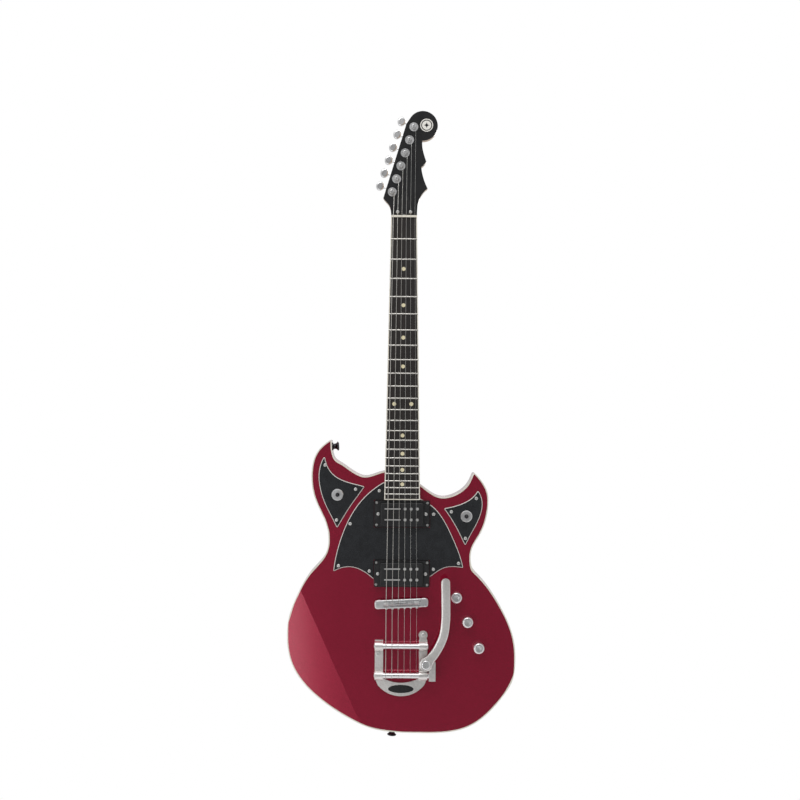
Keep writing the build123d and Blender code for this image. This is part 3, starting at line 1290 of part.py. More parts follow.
# ---- writing the pieces ----
def main():
    """Build every piece and write it out under its own name."""
    os.makedirs("parts", exist_ok=True)
    core, top, ring = make_body()
    write("body_core", one(core))
    write("body_top", one(top))
    write("body_binding", one(ring))
    write("back_covers", make_back_covers())
    write("pickguard", make_pickguard())
    bass_guard, treble_guard = make_horn_guards()
    write("horn_guard_bass", bass_guard)
    write("horn_guard_treble", treble_guard)
    write("neck", make_neck())
    write("headstock_face", make_head_face())
    write("headstock_emblem", make_emblem())
    write("truss_rod", make_truss_rod())
    write("truss_rod_cover", make_rod_cover())
    board, edging, dots, frets = make_board()
    write("fretboard", board)
    write("board_binding", edging)
    write("position_dots", dots)
    write("frets", frets)
    write("nut", make_nut())
    rings, covers, poles, bases, height_screws = make_pickups()
    write("pickup_rings", rings)
    write("pickup_covers", covers)
    write("pickup_poles", poles)
    write("pickup_bases", bases)
    write("pickup_screws", group(height_screws))
    small = [screw(p, GUARD_THICKNESS, SCREW_END) for p in GUARD_SCREWS]
    small += [screw(p, 2.8, SCREW_END) for p in RING_SCREWS]
    small += [screw(p, HEAD_TOP + COVER_PLATE, -1.5) for p in COVER_SCREWS]
    small += [back_screw(p) for p in cover_screw_places()]
    write("small_screws", group(small))
    bar, saddles, saddle_screws, posts = make_bridge()
    write("bridge_body", bar)
    write("bridge_saddles", saddles)
    write("saddle_screws", saddle_screws)
    write("bridge_posts", posts)
    write("vibrato_frame", make_vibrato_frame())
    write("vibrato_badge", one(badge_shape(0, 1.8)))
    write("vibrato_screws", make_vibrato_screws())
    roller, rocker = make_bars()
    write("tension_bar", roller)
    write("string_bar", rocker)
    write("arm_bracket", make_bracket())
    write("vibrato_arm", make_arm())
    write("arm_bolt", make_arm_bolt())
    write("vibrato_spring", make_spring())
    write("strings", group([make_string(index) for index in range(STRING_COUNT)]))
    for name, place in zip(("volume", "tone", "contour"), KNOB_PLACES):
        write("knob_" + name, make_knob(place))
    write("potentiometers", make_pots())
    write("switch_bodies", make_switches())
    write("switch_lever_bass", make_lever(SWITCH_PLACES[0]))
    write("switch_lever_treble", make_lever(SWITCH_PLACES[1]))
    write("output_jack", make_jack())
    write("strap_buttons", group([strap_button(seat, away) for seat, away in strap_places()]))
    cup, bushing, post, key = tuner_parts()
    order = range(STRING_COUNT)
    write("tuner_housings", group([place_tuner(i, cup) for i in order]))
    write("tuner_bushings", group([place_tuner(i, bushing) for i in order]))
    for index in order:
        write("tuner_post_" + str(index + 1), one(place_tuner(index, post)))
        write("tuner_key_" + str(index + 1), one(place_tuner(index, key)))


main()
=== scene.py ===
"""Looks of the electric guitar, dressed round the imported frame.

Lengths are metres in the frame's own axes: +X to the treble side, +Z up the neck and -Y out of the
playing face. A "height" is a distance in front of the body's flat top, so a point's y is minus its height.
"""
import json
import logging
import math
from dataclasses import dataclass
from enum import Enum

import bpy
import numpy as np
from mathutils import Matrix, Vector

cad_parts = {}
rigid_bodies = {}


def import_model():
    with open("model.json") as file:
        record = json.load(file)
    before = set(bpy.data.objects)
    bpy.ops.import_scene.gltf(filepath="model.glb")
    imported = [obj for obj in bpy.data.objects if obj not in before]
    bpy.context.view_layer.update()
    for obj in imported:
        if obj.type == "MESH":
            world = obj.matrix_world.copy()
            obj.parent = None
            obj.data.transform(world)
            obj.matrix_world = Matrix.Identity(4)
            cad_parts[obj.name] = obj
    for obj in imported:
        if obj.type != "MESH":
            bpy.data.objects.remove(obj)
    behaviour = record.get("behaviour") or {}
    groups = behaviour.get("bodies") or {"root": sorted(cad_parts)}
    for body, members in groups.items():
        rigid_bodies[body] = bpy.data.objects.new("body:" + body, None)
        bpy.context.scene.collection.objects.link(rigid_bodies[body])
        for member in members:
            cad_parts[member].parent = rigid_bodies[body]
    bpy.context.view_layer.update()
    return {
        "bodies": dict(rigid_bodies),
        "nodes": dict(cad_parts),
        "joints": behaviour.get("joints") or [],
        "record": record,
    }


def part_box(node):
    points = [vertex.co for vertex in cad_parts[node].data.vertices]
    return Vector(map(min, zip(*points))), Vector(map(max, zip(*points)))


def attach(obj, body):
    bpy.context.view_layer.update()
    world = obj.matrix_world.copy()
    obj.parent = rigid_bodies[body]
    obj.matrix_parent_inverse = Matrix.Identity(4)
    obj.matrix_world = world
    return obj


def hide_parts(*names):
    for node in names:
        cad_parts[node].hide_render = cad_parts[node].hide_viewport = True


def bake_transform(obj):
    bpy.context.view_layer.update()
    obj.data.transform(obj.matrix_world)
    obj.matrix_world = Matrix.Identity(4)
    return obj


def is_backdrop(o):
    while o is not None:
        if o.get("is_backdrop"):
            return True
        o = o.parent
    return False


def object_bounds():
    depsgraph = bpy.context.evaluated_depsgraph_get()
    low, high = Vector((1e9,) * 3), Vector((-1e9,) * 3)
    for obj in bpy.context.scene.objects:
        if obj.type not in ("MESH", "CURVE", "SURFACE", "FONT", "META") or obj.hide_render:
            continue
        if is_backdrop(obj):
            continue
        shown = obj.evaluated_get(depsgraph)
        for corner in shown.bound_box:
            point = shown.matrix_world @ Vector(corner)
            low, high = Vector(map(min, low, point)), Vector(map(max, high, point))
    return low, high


LOG = logging.getLogger("guitar")
MM = 0.001
WHOLE = (0.0, 1.0)
SURFACE_MAP = "Along"
# Keeps a half width's square above nothing where the lever closes.
LEAST_SQUARE = 1e-9
Colour = tuple[float, float, float]
Point = tuple[float, float, float]
Span = tuple[float, float]


# ---- surfaces ----
@dataclass
class Skin:
    """Vertices, faces and surface coordinates of one closed shell."""

    points: np.ndarray
    faces: list[tuple[int, ...]]
    along: np.ndarray


def through(points: np.ndarray, count: int) -> np.ndarray:
    """Smooth curve through points, each stretch a cubic set by its two ends and their neighbours.

    Args:
        points: The places that the curve passes, one a row.
        count: How many places of the curve to return.

    Returns:
        The curve's places, evenly spaced in its own parameter.
    """
    padded = np.vstack([2 * points[0] - points[1], points, 2 * points[-1] - points[-2]])
    t = np.linspace(0, len(points) - 1 - 1e-9, count)
    i = t.astype(int)
    u = (t - i)[:, None]
    a, b, c, d = padded[i], padded[i + 1], padded[i + 2], padded[i + 3]
    return 0.5 * (2 * b + (c - a) * u + (2 * a - 5 * b + 4 * c - d) * u**2 + (3 * b - a - 3 * c + d) * u**3)


def lengths(path: np.ndarray) -> np.ndarray:
    """Length along a path from its first place to each of its places."""
    return np.concatenate([[0.0], np.cumsum(np.linalg.norm(np.diff(path, axis=0), axis=1))])


def rings(grid: np.ndarray) -> Skin:
    """Closed shell of a grid of rings: rows follow one another, and each row closes on itself.

    The end rows are closed by a fan to their own centre. The shell is turned so that its volume, the sum
    of each face's signed pyramid to the origin, is positive, which puts every face outwards.

    Args:
        grid: Places, shaped (rows, sides, 3).

    Returns:
        The shell, with the length along the rows as its first surface coordinate.
    """
    rows, sides = grid.shape[:2]
    index = np.arange(rows * sides).reshape(rows, sides)
    turned = np.roll(index, -1, axis=1)
    quads = np.stack([index[:-1], turned[:-1], turned[1:], index[1:]], axis=-1).reshape(-1, 4)
    first, last = rows * sides, rows * sides + 1
    start = np.stack([turned[0], index[0], np.full(sides, first)], axis=-1)
    end = np.stack([index[-1], turned[-1], np.full(sides, last)], axis=-1)
    points = np.vstack([grid.reshape(-1, 3), grid[0].mean(axis=0), grid[-1].mean(axis=0)])
    triangles = np.vstack([quads[:, [0, 1, 2]], quads[:, [0, 2, 3]], start, end])
    a, b, c = (points[triangles[:, k]] for k in range(3))
    outward = np.einsum("ij,ij->i", a, np.cross(b, c)).sum() > 0
    faces = [tuple(face) for part in (quads, start, end) for face in part.tolist()]
    if not outward:
        faces = [face[::-1] for face in faces]
    run = lengths(grid.mean(axis=1))
    around = np.linspace(0, 1, sides, endpoint=False)
    along = np.stack([np.repeat(run, sides), np.tile(around, rows)], axis=-1)
    along = np.vstack([along, [[run[0], 0.5], [run[-1], 0.5]]])
    return Skin(points, faces, along)


def carried(path: np.ndarray, profile: np.ndarray, sizes: np.ndarray, lean: Point) -> Skin:
    """Shell of a flat profile carried along a path, square to it.

    At each place the profile's second axis is the lean direction made square to the path's tangent, and
    its first axis is their cross product. A profile point is the place plus its two parts along them.

    Args:
        path: Places that the profile's centre passes.
        profile: The profile's points about its centre, for a size of one.
        sizes: The profile's two sizes at each place.
        lean: Direction that the profile's second axis keeps to.

    Returns:
        The closed shell.
    """
    tangent = np.gradient(path, axis=0)
    tangent /= np.linalg.norm(tangent, axis=1)[:, None]
    toward = np.array(lean, dtype=float)
    second = toward - (tangent @ toward)[:, None] * tangent
    second /= np.linalg.norm(second, axis=1)[:, None]
    first = np.cross(tangent, second)
    spread = profile[None, :, 0, None] * sizes[:, None, 0, None] * first[:, None, :]
    rise = profile[None, :, 1, None] * sizes[:, None, 1, None] * second[:, None, :]
    return rings(path[:, None, :] + spread + rise)


def oval(sides: int, squareness: float = 2.0) -> np.ndarray:
    """Superellipse: cosine and sine, each with its size raised to two over the squareness.

    Args:
        sides: How many points it has.
        squareness: 2 for a circle, and more for flatter sides.

    Returns:
        The points, for a size of one.
    """
    angle = np.linspace(0, 2 * math.pi, sides, endpoint=False)
    both = np.stack([np.cos(angle), np.sin(angle)], axis=-1)
    return np.sign(both) * np.abs(both) ** (2 / squareness)


def round_axis(centre: Point, reach: np.ndarray | float, angle: np.ndarray, height: np.ndarray) -> np.ndarray:
    """Places round an axis out of the playing face: the reach along each angle's cosine and sine.

    Args:
        centre: Any place on the axis.
        reach: Distances from the axis.
        angle: Angles round it, from +X towards +Z.
        height: Heights in front of the body's flat top.

    Returns:
        The places, in the shape that the three share.
    """
    return np.stack([centre[0] + reach * np.cos(angle), -height, centre[2] + reach * np.sin(angle)], axis=-1)


def helix(centre: Point, radius: float, rise: Span, turns: float, start: float, count: int) -> np.ndarray:
    """Coil about an axis out of the playing face: it goes round while its height grows evenly.

    Args:
        centre: Any place on its axis.
        radius: Distance from the axis to the middle of the wire.
        rise: Heights of its two ends.
        turns: How many turns it has.
        start: Angle of its first place.
        count: How many places to return.

    Returns:
        The places along the coil.
    """
    angle = start + np.linspace(0, 2 * math.pi * turns, count)
    return round_axis(centre, radius, angle, np.linspace(*rise, count))


def make_piece(name: str, skins: list[Skin], material: bpy.types.Material) -> bpy.types.Object:
    """Puts shells into one smooth mesh object at the origin, with their surface coordinates as a UV map.

    Args:
        name: The piece's name.
        skins: The shells that it holds.
        material: Its finish.

    Returns:
        The new object, linked to the scene.
    """
    starts = np.cumsum([0] + [len(skin.points) for skin in skins])
    points = np.vstack([skin.points for skin in skins])
    along = np.vstack([skin.along for skin in skins])
    faces = [tuple(v + int(start) for v in face) for skin, start in zip(skins, starts) for face in skin.faces]
    mesh = bpy.data.meshes.new(name)
    mesh.from_pydata(points.tolist(), [], faces)
    corner = np.empty(len(mesh.loops), dtype=np.int32)
    mesh.loops.foreach_get("vertex_index", corner)
    mesh.uv_layers.new(name=SURFACE_MAP).data.foreach_set("uv", along[corner].ravel().astype(np.float32))
    mesh.polygons.foreach_set("use_smooth", np.full(len(mesh.polygons), True))
    mesh.materials.append(material)
    mesh.update()
    piece = bpy.data.objects.new(name, mesh)
    bpy.context.scene.collection.objects.link(piece)
    return piece


# ---- patterns ----
class Wiring:
    """Short-hand for adding nodes to one node tree and joining them."""

    def __init__(self, tree: bpy.types.NodeTree) -> None:
        """Keeps the tree that the nodes go into."""
        self.tree = tree

    def add(self, kind: str, inputs: dict | None = None, **settings: object) -> bpy.types.Node:
        """Adds a node.

        Args:
            kind: The node's type name.
            inputs: Socket name or number to a constant or another node's output.
            **settings: The node's own properties.

        Returns:
            The new node.
        """
        node = self.tree.nodes.new(kind)
        for key, value in settings.items():
            setattr(node, key, value)
        for key, value in (inputs or {}).items():
            self.join(value, node.inputs[key])
        return node

    def join(self, value: object, socket: bpy.types.NodeSocket) -> None:
        """Links an output to a socket, or sets a constant on it.

        Args:
            value: Another node's output, or a constant.
            socket: The socket that takes it.
        """
        if isinstance(value, bpy.types.NodeSocket):
            self.tree.links.new(value, socket)
        else:
            socket.default_value = value

    def math(self, operation: str, a: object, b: object = 0.0) -> bpy.types.NodeSocket:
        """Result of one Math node."""
        return self.add("ShaderNodeMath", {0: a, 1: b}, operation=operation).outputs[0]

    def noise(self, place: object, scale: object, **inputs: float) -> bpy.types.NodeSocket:
        """Value of one Noise Texture node at a place."""
        return self.add("ShaderNodeTexNoise", {"Vector": place, "Scale": scale, **inputs}).outputs["Fac"]

    def weigh(self, share: float, a: object, b: object) -> bpy.types.NodeSocket:
        """Sum of a share of a and the rest of b."""
        return self.math("ADD", self.math("MULTIPLY", a, share), self.math("MULTIPLY", b, 1 - share))

    def between(self, value: object, old: Span, new: tuple[object, object] = WHOLE) -> bpy.types.NodeSocket:
        """Value taken from one range to another, and held inside it."""
        sockets = {"Value": value, "From Min": old[0], "From Max": old[1], "To Min": new[0], "To Max": new[1]}
        return self.add("ShaderNodeMapRange", sockets).outputs["Result"]

    def bump(self, strength: float, depth: float, height: object) -> bpy.types.NodeSocket:
        """Normal of a surface raised by a height from 0 to 1."""
        inputs = {"Strength": strength, "Distance": depth, "Height": height}
        return self.add("ShaderNodeBump", inputs).outputs["Normal"]

    def mix(self, share: object, a: object, b: object) -> bpy.types.NodeSocket:
        """Colour between two colours.

        Args:
            share: How much of b it holds, from 0 to 1.
            a: First colour, as three numbers or another node's output.
            b: Second colour, in the same way.

        Returns:
            The mixed colour's output.
        """
        node = self.add("ShaderNodeMix", data_type="RGBA")
        for key, value in ((0, share), (6, a), (7, b)):
            self.join((*value, 1.0) if isinstance(value, tuple) else value, node.inputs[key])
        return node.outputs[2]


class Pattern(Enum):
    """What a finish's surface shows up close."""

    MOTTLE = "Fine mottle"
    FLAKE = "Metal flake"
    WOOD = "Long grain"
    BRUSHED = "Brushed lines"
    CAST = "Cast skin"


# Scales of a pattern along each axis. A number under 1 stretches it that way.
STRETCH = {Pattern.WOOD: (1.0, 1.0, 0.06), Pattern.BRUSHED: (0.03, 1.0, 1.0)}
UNSTRETCHED = (1.0, 1.0, 1.0)
# The small noise is this many times finer, and the broad one has this share of the shade.
FINE_RATIO = 8.0
BROAD_SHARE = 0.65
DEEP_DETAIL = 6.0
PLAIN_DETAIL = 3.0
FLAKE_DETAIL = 2.0
# Parts of a noise's range that are spread over 0 to 1.
NOISE_SPAN = (0.32, 0.68)
PORE_SPAN = (0.3, 0.5)
PATCH_SPAN = (0.35, 0.7)
PATCH_DETAIL = 4.0
PATCH_ROUGHNESS = 0.6
# Share of a finish's roughness that handling sets. Its pattern sets the rest.
PATCH_SHARE = 0.7
# A bevel starts to show at the first cosine of its lean and shows fully at the second.
BEVEL_COSINES = (0.93, 0.85)


def start_group(
    name: str, inputs: dict[str, float], outputs: tuple[str, ...]
) -> tuple[bpy.types.NodeTree, Wiring]:
    """Opens a new shader group with plain number inputs and outputs.

    Args:
        name: The group's name.
        inputs: Input names and their usual values.
        outputs: Output names.

    Returns:
        The group and its wiring.
    """
    group = bpy.data.node_groups.new(name, "ShaderNodeTree")
    for key, value in inputs.items():
        socket = group.interface.new_socket(key, in_out="INPUT", socket_type="NodeSocketFloat")
        socket.default_value = value
    for key in outputs:
        group.interface.new_socket(key, in_out="OUTPUT", socket_type="NodeSocketFloat")
    return group, Wiring(group)


def pattern_group(pattern: Pattern) -> bpy.types.NodeTree:
    """Group that turns Object coordinates into a pattern's shade and relief, both from 0 to 1.

    MOTTLE is a broad noise and a finer one. FLAKE is the random shade of small cells. WOOD is noise
    stretched along the neck, with finer pores. BRUSHED is noise stretched across. CAST is a pebbled noise.

    Args:
        pattern: Which of them to build.

    Returns:
        The group, whose Size input is the broad noise's size in metres.
    """
    group, w = start_group(pattern.value, {"Size": 0.01}, ("Shade", "Relief"))
    entry = w.add("NodeGroupInput")
    scale = w.math("DIVIDE", 1.0, entry.outputs["Size"])
    place = w.add("ShaderNodeTexCoord").outputs["Object"]
    stretch = STRETCH.get(pattern, UNSTRETCHED)
    place = w.add("ShaderNodeMapping", {"Vector": place, "Scale": stretch}).outputs["Vector"]
    fine = w.math("MULTIPLY", scale, FINE_RATIO)
    if pattern is Pattern.FLAKE:
        cells = w.add("ShaderNodeTexVoronoi", {"Vector": place, "Scale": fine})
        shade = w.add("ShaderNodeSeparateColor", {"Color": cells.outputs["Color"]}).outputs[0]
        relief = w.noise(place, scale, Detail=FLAKE_DETAIL)
    else:
        detail = DEEP_DETAIL if pattern in (Pattern.WOOD, Pattern.CAST) else PLAIN_DETAIL
        broad = w.noise(place, scale, Detail=detail)
        small = w.noise(place, fine, Detail=PLAIN_DETAIL)
        shade = w.between(w.weigh(BROAD_SHARE, broad, small), NOISE_SPAN)
        relief = w.between(small, PORE_SPAN) if pattern is Pattern.WOOD else small
    w.add("NodeGroupOutput", {"Shade": shade, "Relief": relief})
    return group


def tilt_group() -> bpy.types.NodeTree:
    """Group that marks a plate's bevel: 1 where the surface's normal leans well off the playing face.

    Returns:
        The group, whose mark goes from 0 to 1 between two cosines of that lean.
    """
    group, w = start_group("Bevel mark", {}, ("Mask",))
    normal = w.add("ShaderNodeNewGeometry").outputs["True Normal"]
    facing = w.math("ABSOLUTE", w.add("ShaderNodeSeparateXYZ", {0: normal}).outputs["Y"])
    w.add("NodeGroupOutput", {"Mask": w.between(facing, BEVEL_COSINES)})
    return group


def handling_group() -> bpy.types.NodeTree:
    """Group of large soft patches, where hands have dulled or polished a surface, from 0 to 1.

    Returns:
        The group, whose Size input is a patch's size in metres.
    """
    group, w = start_group("Handling", {"Size": 0.08}, ("Patches",))
    entry = w.add("NodeGroupInput")
    scale = w.math("DIVIDE", 1.0, entry.outputs["Size"])
    place = w.add("ShaderNodeTexCoord").outputs["Object"]
    cloud = w.noise(place, scale, Detail=PATCH_DETAIL, Roughness=PATCH_ROUGHNESS)
    w.add("NodeGroupOutput", {"Patches": w.between(cloud, PATCH_SPAN)})
    return group


class Patterns:
    """The shared node groups, each built once."""

    def __init__(self) -> None:
        """Builds every group."""
        self.of = {pattern: pattern_group(pattern) for pattern in Pattern}
        self.tilt = tilt_group()
        self.handling = handling_group()


def start_material(name: str) -> tuple[bpy.types.Material, Wiring, bpy.types.NodeInputs]:
    """Opens a new material.

    Args:
        name: The material's name.

    Returns:
        The material, its wiring and the inputs of its main shader.
    """
    material = bpy.data.materials.new(name)
    material.use_nodes = True
    return material, Wiring(material.node_tree), material.node_tree.nodes["Principled BSDF"].inputs


@dataclass(frozen=True)
class Finish:
    """One finish: two colours mixed by a pattern, with a roughness range and a relief.

    The edge colour, where there is one, shows on a plate's bevel.
    """

    name: str
    dark: Colour
    light: Colour
    pattern: Pattern
    size: float
    rough: Span
    metallic: float = 0.0
    relief: float = 0.05
    depth: float = 0.0001
    coat: float = 0.0
    coat_rough: float = 0.03
    edge: Colour | None = None

    def build(self, patterns: Patterns) -> bpy.types.Material:
        """Makes the material.

        Args:
            patterns: The shared node groups.

        Returns:
            The new material.
        """
        material, w, shader = start_material(self.name)
        marks = w.add("ShaderNodeGroup", node_tree=patterns.of[self.pattern])
        marks.inputs["Size"].default_value = self.size
        worn = w.add("ShaderNodeGroup", node_tree=patterns.handling)
        colour = w.mix(marks.outputs["Shade"], self.dark, self.light)
        if self.edge:
            mask = w.add("ShaderNodeGroup", node_tree=patterns.tilt).outputs["Mask"]
            colour = w.mix(mask, colour, self.edge)
        w.join(colour, shader["Base Color"])
        spread = w.weigh(PATCH_SHARE, worn.outputs["Patches"], marks.outputs["Shade"])
        w.join(w.between(spread, WHOLE, self.rough), shader["Roughness"])
        w.join(w.bump(self.relief, self.depth, marks.outputs["Relief"]), shader["Normal"])
        shader["Metallic"].default_value = self.metallic
        shader["Coat Weight"].default_value = self.coat
        shader["Coat Roughness"].default_value = self.coat_rough
        return material


@dataclass(frozen=True)
class WoundFinish:
    """String metal with its winding: a sine of the length along the string raises the turns and paints shade
    into the grooves between them.
    """

    name: str
    pitch: float
    # Colour in the grooves between the turns, darkened as painted shade.
    dark: Colour = (0.42, 0.40, 0.37)
    light: Colour = (0.92, 0.90, 0.86)
    rough: Span = (0.5, 0.28)
    relief: float = 0.4
    depth: float = 0.0001

    def build(self) -> bpy.types.Material:
        """Makes the material, whose turns follow the piece's own UV map.

        Returns:
            The new material.
        """
        material, w, shader = start_material(self.name)
        surface = w.add("ShaderNodeUVMap", uv_map=SURFACE_MAP).outputs[0]
        along = w.add("ShaderNodeSeparateXYZ", {0: surface}).outputs["X"]
        turn = w.math("SINE", w.math("MULTIPLY", along, 2 * math.pi / self.pitch))
        ridge = w.between(turn, (-1.0, 1.0))
        # Painted shade: the colour darkens from each turn's crest into the groove beside it.
        w.join(w.mix(ridge, self.dark, self.light), shader["Base Color"])
        w.join(w.between(ridge, WHOLE, self.rough), shader["Roughness"])
        w.join(w.bump(self.relief, self.depth, ridge), shader["Normal"])
        shader["Metallic"].default_value = 1.0
        return material


@dataclass(frozen=True)
class EmblemFinish:
    """Plain round badge: a pale face, a dark ring and a dark four-armed figure.

    The ring's two sizes are shares of the radius. The figure's span is where its edge fades, as the sum of
    the square roots of two such shares.
    """

    name: str
    centre: Point
    radius: float
    pale: Colour = (0.80, 0.78, 0.72)
    palest: Colour = (0.90, 0.88, 0.84)
    dark: Colour = (0.02, 0.02, 0.022)
    ring_radius: float = 0.78
    ring_half_width: float = 0.07
    figure_span: Span = (0.80, 0.74)
    cloud_scale: float = 300.0
    cloud_span: Span = (0.3, 0.7)
    rough: Span = (0.12, 0.28)

    def build(self) -> bpy.types.Material:
        """Makes the material: the ring is a band of distance, the figure a low sum of square-rooted sides.

        Returns:
            The new material.
        """
        material, w, shader = start_material(self.name)
        offset = tuple(-part for part in self.centre)
        place = w.add("ShaderNodeTexCoord").outputs["Object"]
        moved = w.add("ShaderNodeMapping", {"Vector": place, "Location": offset}).outputs["Vector"]
        parts = w.add("ShaderNodeSeparateXYZ", {0: moved})
        across = w.math("DIVIDE", w.math("ABSOLUTE", parts.outputs["X"]), self.radius)
        up = w.math("DIVIDE", w.math("ABSOLUTE", parts.outputs["Z"]), self.radius)
        reach = w.math("SQRT", w.math("ADD", w.math("POWER", across, 2.0), w.math("POWER", up, 2.0)))
        ring = w.math("COMPARE", reach, self.ring_radius)
        ring.node.inputs[2].default_value = self.ring_half_width
        star = w.math("ADD", w.math("SQRT", across), w.math("SQRT", up))
        mask = w.math("MAXIMUM", ring, w.between(star, self.figure_span))
        cloud = w.noise(place, self.cloud_scale)
        w.join(w.mix(mask, w.mix(cloud, self.pale, self.palest), self.dark), shader["Base Color"])
        w.join(w.between(cloud, self.cloud_span, self.rough), shader["Roughness"])
        return material


FINISHES = {
    "candy_red": Finish(
        "Candy red lacquer", (0.27, 0.0015, 0.024), (0.44, 0.005, 0.046),
        Pattern.FLAKE, 0.004, (0.19, 0.24), metallic=0.58, relief=0.03, coat=0.9, coat_rough=0.11,
    ),
    "body_wood": Finish(
        "Red lacquered wood", (0.27, 0.0015, 0.024), (0.42, 0.005, 0.044),
        Pattern.FLAKE, 0.004, (0.19, 0.26), metallic=0.58, relief=0.04, coat=1.0, coat_rough=0.05,
    ),
    "cream_binding": Finish(
        "Cream binding", (0.74, 0.69, 0.58), (0.88, 0.85, 0.77),
        Pattern.MOTTLE, 0.02, (0.18, 0.32), coat=0.6,
    ),
    "black_ply": Finish(
        "Black ply with a pale core", (0.012, 0.013, 0.015), (0.022, 0.024, 0.027),
        Pattern.MOTTLE, 0.012, (0.13, 0.17), coat=0.4, edge=(0.75, 0.74, 0.70),
    ),
    "black_plastic": Finish(
        "Black moulded plastic", (0.010, 0.010, 0.011), (0.022, 0.022, 0.023),
        Pattern.CAST, 0.004, (0.28, 0.42), relief=0.10,
    ),
    "maple": Finish(
        "Satin maple", (0.42, 0.25, 0.12), (0.68, 0.48, 0.29),
        Pattern.WOOD, 0.006, (0.30, 0.45), relief=0.08, coat=0.4, coat_rough=0.15,
    ),
    "black_lacquer": Finish(
        "Black lacquer", (0.008, 0.008, 0.009), (0.016, 0.016, 0.017),
        Pattern.MOTTLE, 0.02, (0.10, 0.22), coat=0.8,
    ),
    "rosewood": Finish(
        "Open-pored rosewood", (0.004, 0.003, 0.0028), (0.016, 0.010, 0.008),
        Pattern.WOOD, 0.003, (0.58, 0.74), relief=0.18, depth=0.0002,
    ),
    "cream_inlay": Finish(
        "Aged cream inlay", (0.72, 0.62, 0.36), (0.90, 0.84, 0.62),
        Pattern.MOTTLE, 0.002, (0.15, 0.25), coat=0.5,
    ),
    "fret_metal": Finish(
        "Polished fret nickel", (0.52, 0.50, 0.46), (0.78, 0.76, 0.72),
        Pattern.BRUSHED, 0.0006, (0.18, 0.30), metallic=1.0,
    ),
    "bone": Finish(
        "Polished bone", (0.74, 0.69, 0.58), (0.90, 0.87, 0.78),
        Pattern.WOOD, 0.002, (0.20, 0.34), coat=0.3,
    ),
    "chrome": Finish(
        "Bright chrome", (0.80, 0.80, 0.81), (0.92, 0.92, 0.93),
        Pattern.MOTTLE, 0.01, (0.25, 0.34), metallic=1.0, relief=0.02,
    ),
    "cast_metal": Finish(
        "Satin cast aluminium", (0.74, 0.72, 0.70), (0.90, 0.88, 0.86),
        Pattern.CAST, 0.003, (0.30, 0.44), metallic=1.0, relief=0.08,
    ),
    "steel": Finish(
        "Plain steel", (0.58, 0.58, 0.58), (0.80, 0.80, 0.79),
        Pattern.BRUSHED, 0.001, (0.25, 0.42), metallic=1.0,
    ),
    "nickel_screw": Finish(
        "Nickel screw", (0.72, 0.72, 0.71), (0.90, 0.89, 0.87),
        Pattern.MOTTLE, 0.001, (0.28, 0.40), metallic=1.0,
    ),
    "string_steel": Finish(
        "Plain string steel", (0.72, 0.71, 0.69), (0.90, 0.89, 0.86),
        Pattern.BRUSHED, 0.0005, (0.30, 0.42), metallic=1.0,
    ),
    "dark_metal": Finish(
        "Black nickel", (0.030, 0.030, 0.033), (0.075, 0.075, 0.08),
        Pattern.MOTTLE, 0.002, (0.18, 0.32), metallic=1.0,
    ),
}


class Workshop:
    """Holds the frame and every finish, and dresses the frame's own nodes."""

    def __init__(self, frame: dict) -> None:
        """Builds each finish once.

        Args:
            frame: The loaded frame, with its nodes and its record.
        """
        self.frame = frame
        patterns = Patterns()
        self.finishes = {slot: finish.build(patterns) for slot, finish in FINISHES.items()}
        self.slot_of = {part["node"]: part["material_slot"] for part in frame["record"]["subparts"]}

    def centre(self, node: str) -> np.ndarray:
        """Middle of a node's box."""
        low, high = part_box(node)
        return (np.array(low) + np.array(high)) / 2

    def dress(self, node: str, material: bpy.types.Material) -> None:
        """Gives a node's object one material in every slot.

        Args:
            node: The node's name.
            material: The material for it.
        """
        piece = self.frame["nodes"][node]
        if not piece.material_slots:
            piece.data.materials.append(material)
        for slot in piece.material_slots:
            slot.material = material
        LOG.info("dressed %s in %s", node, material.name)

    def dress_all(self) -> None:
        """Dresses every node in its record's slot."""
        for node, slot in self.slot_of.items():
            self.dress(node, self.finishes[slot])

    def ride(self, piece: bpy.types.Object, body: str, slot: str, *nodes: str) -> None:
        """Seats a new piece on a body and hides the nodes that it stands for.

        Args:
            piece: The new piece.
            body: The body that it rides on.
            slot: Its record's slot. Not used.
            *nodes: The nodes that it replaces.
        """
        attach(piece, body)
        if nodes:
            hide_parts(*nodes)
        LOG.info("%s rides on %s, %d faces", piece.name, body, len(piece.data.polygons))


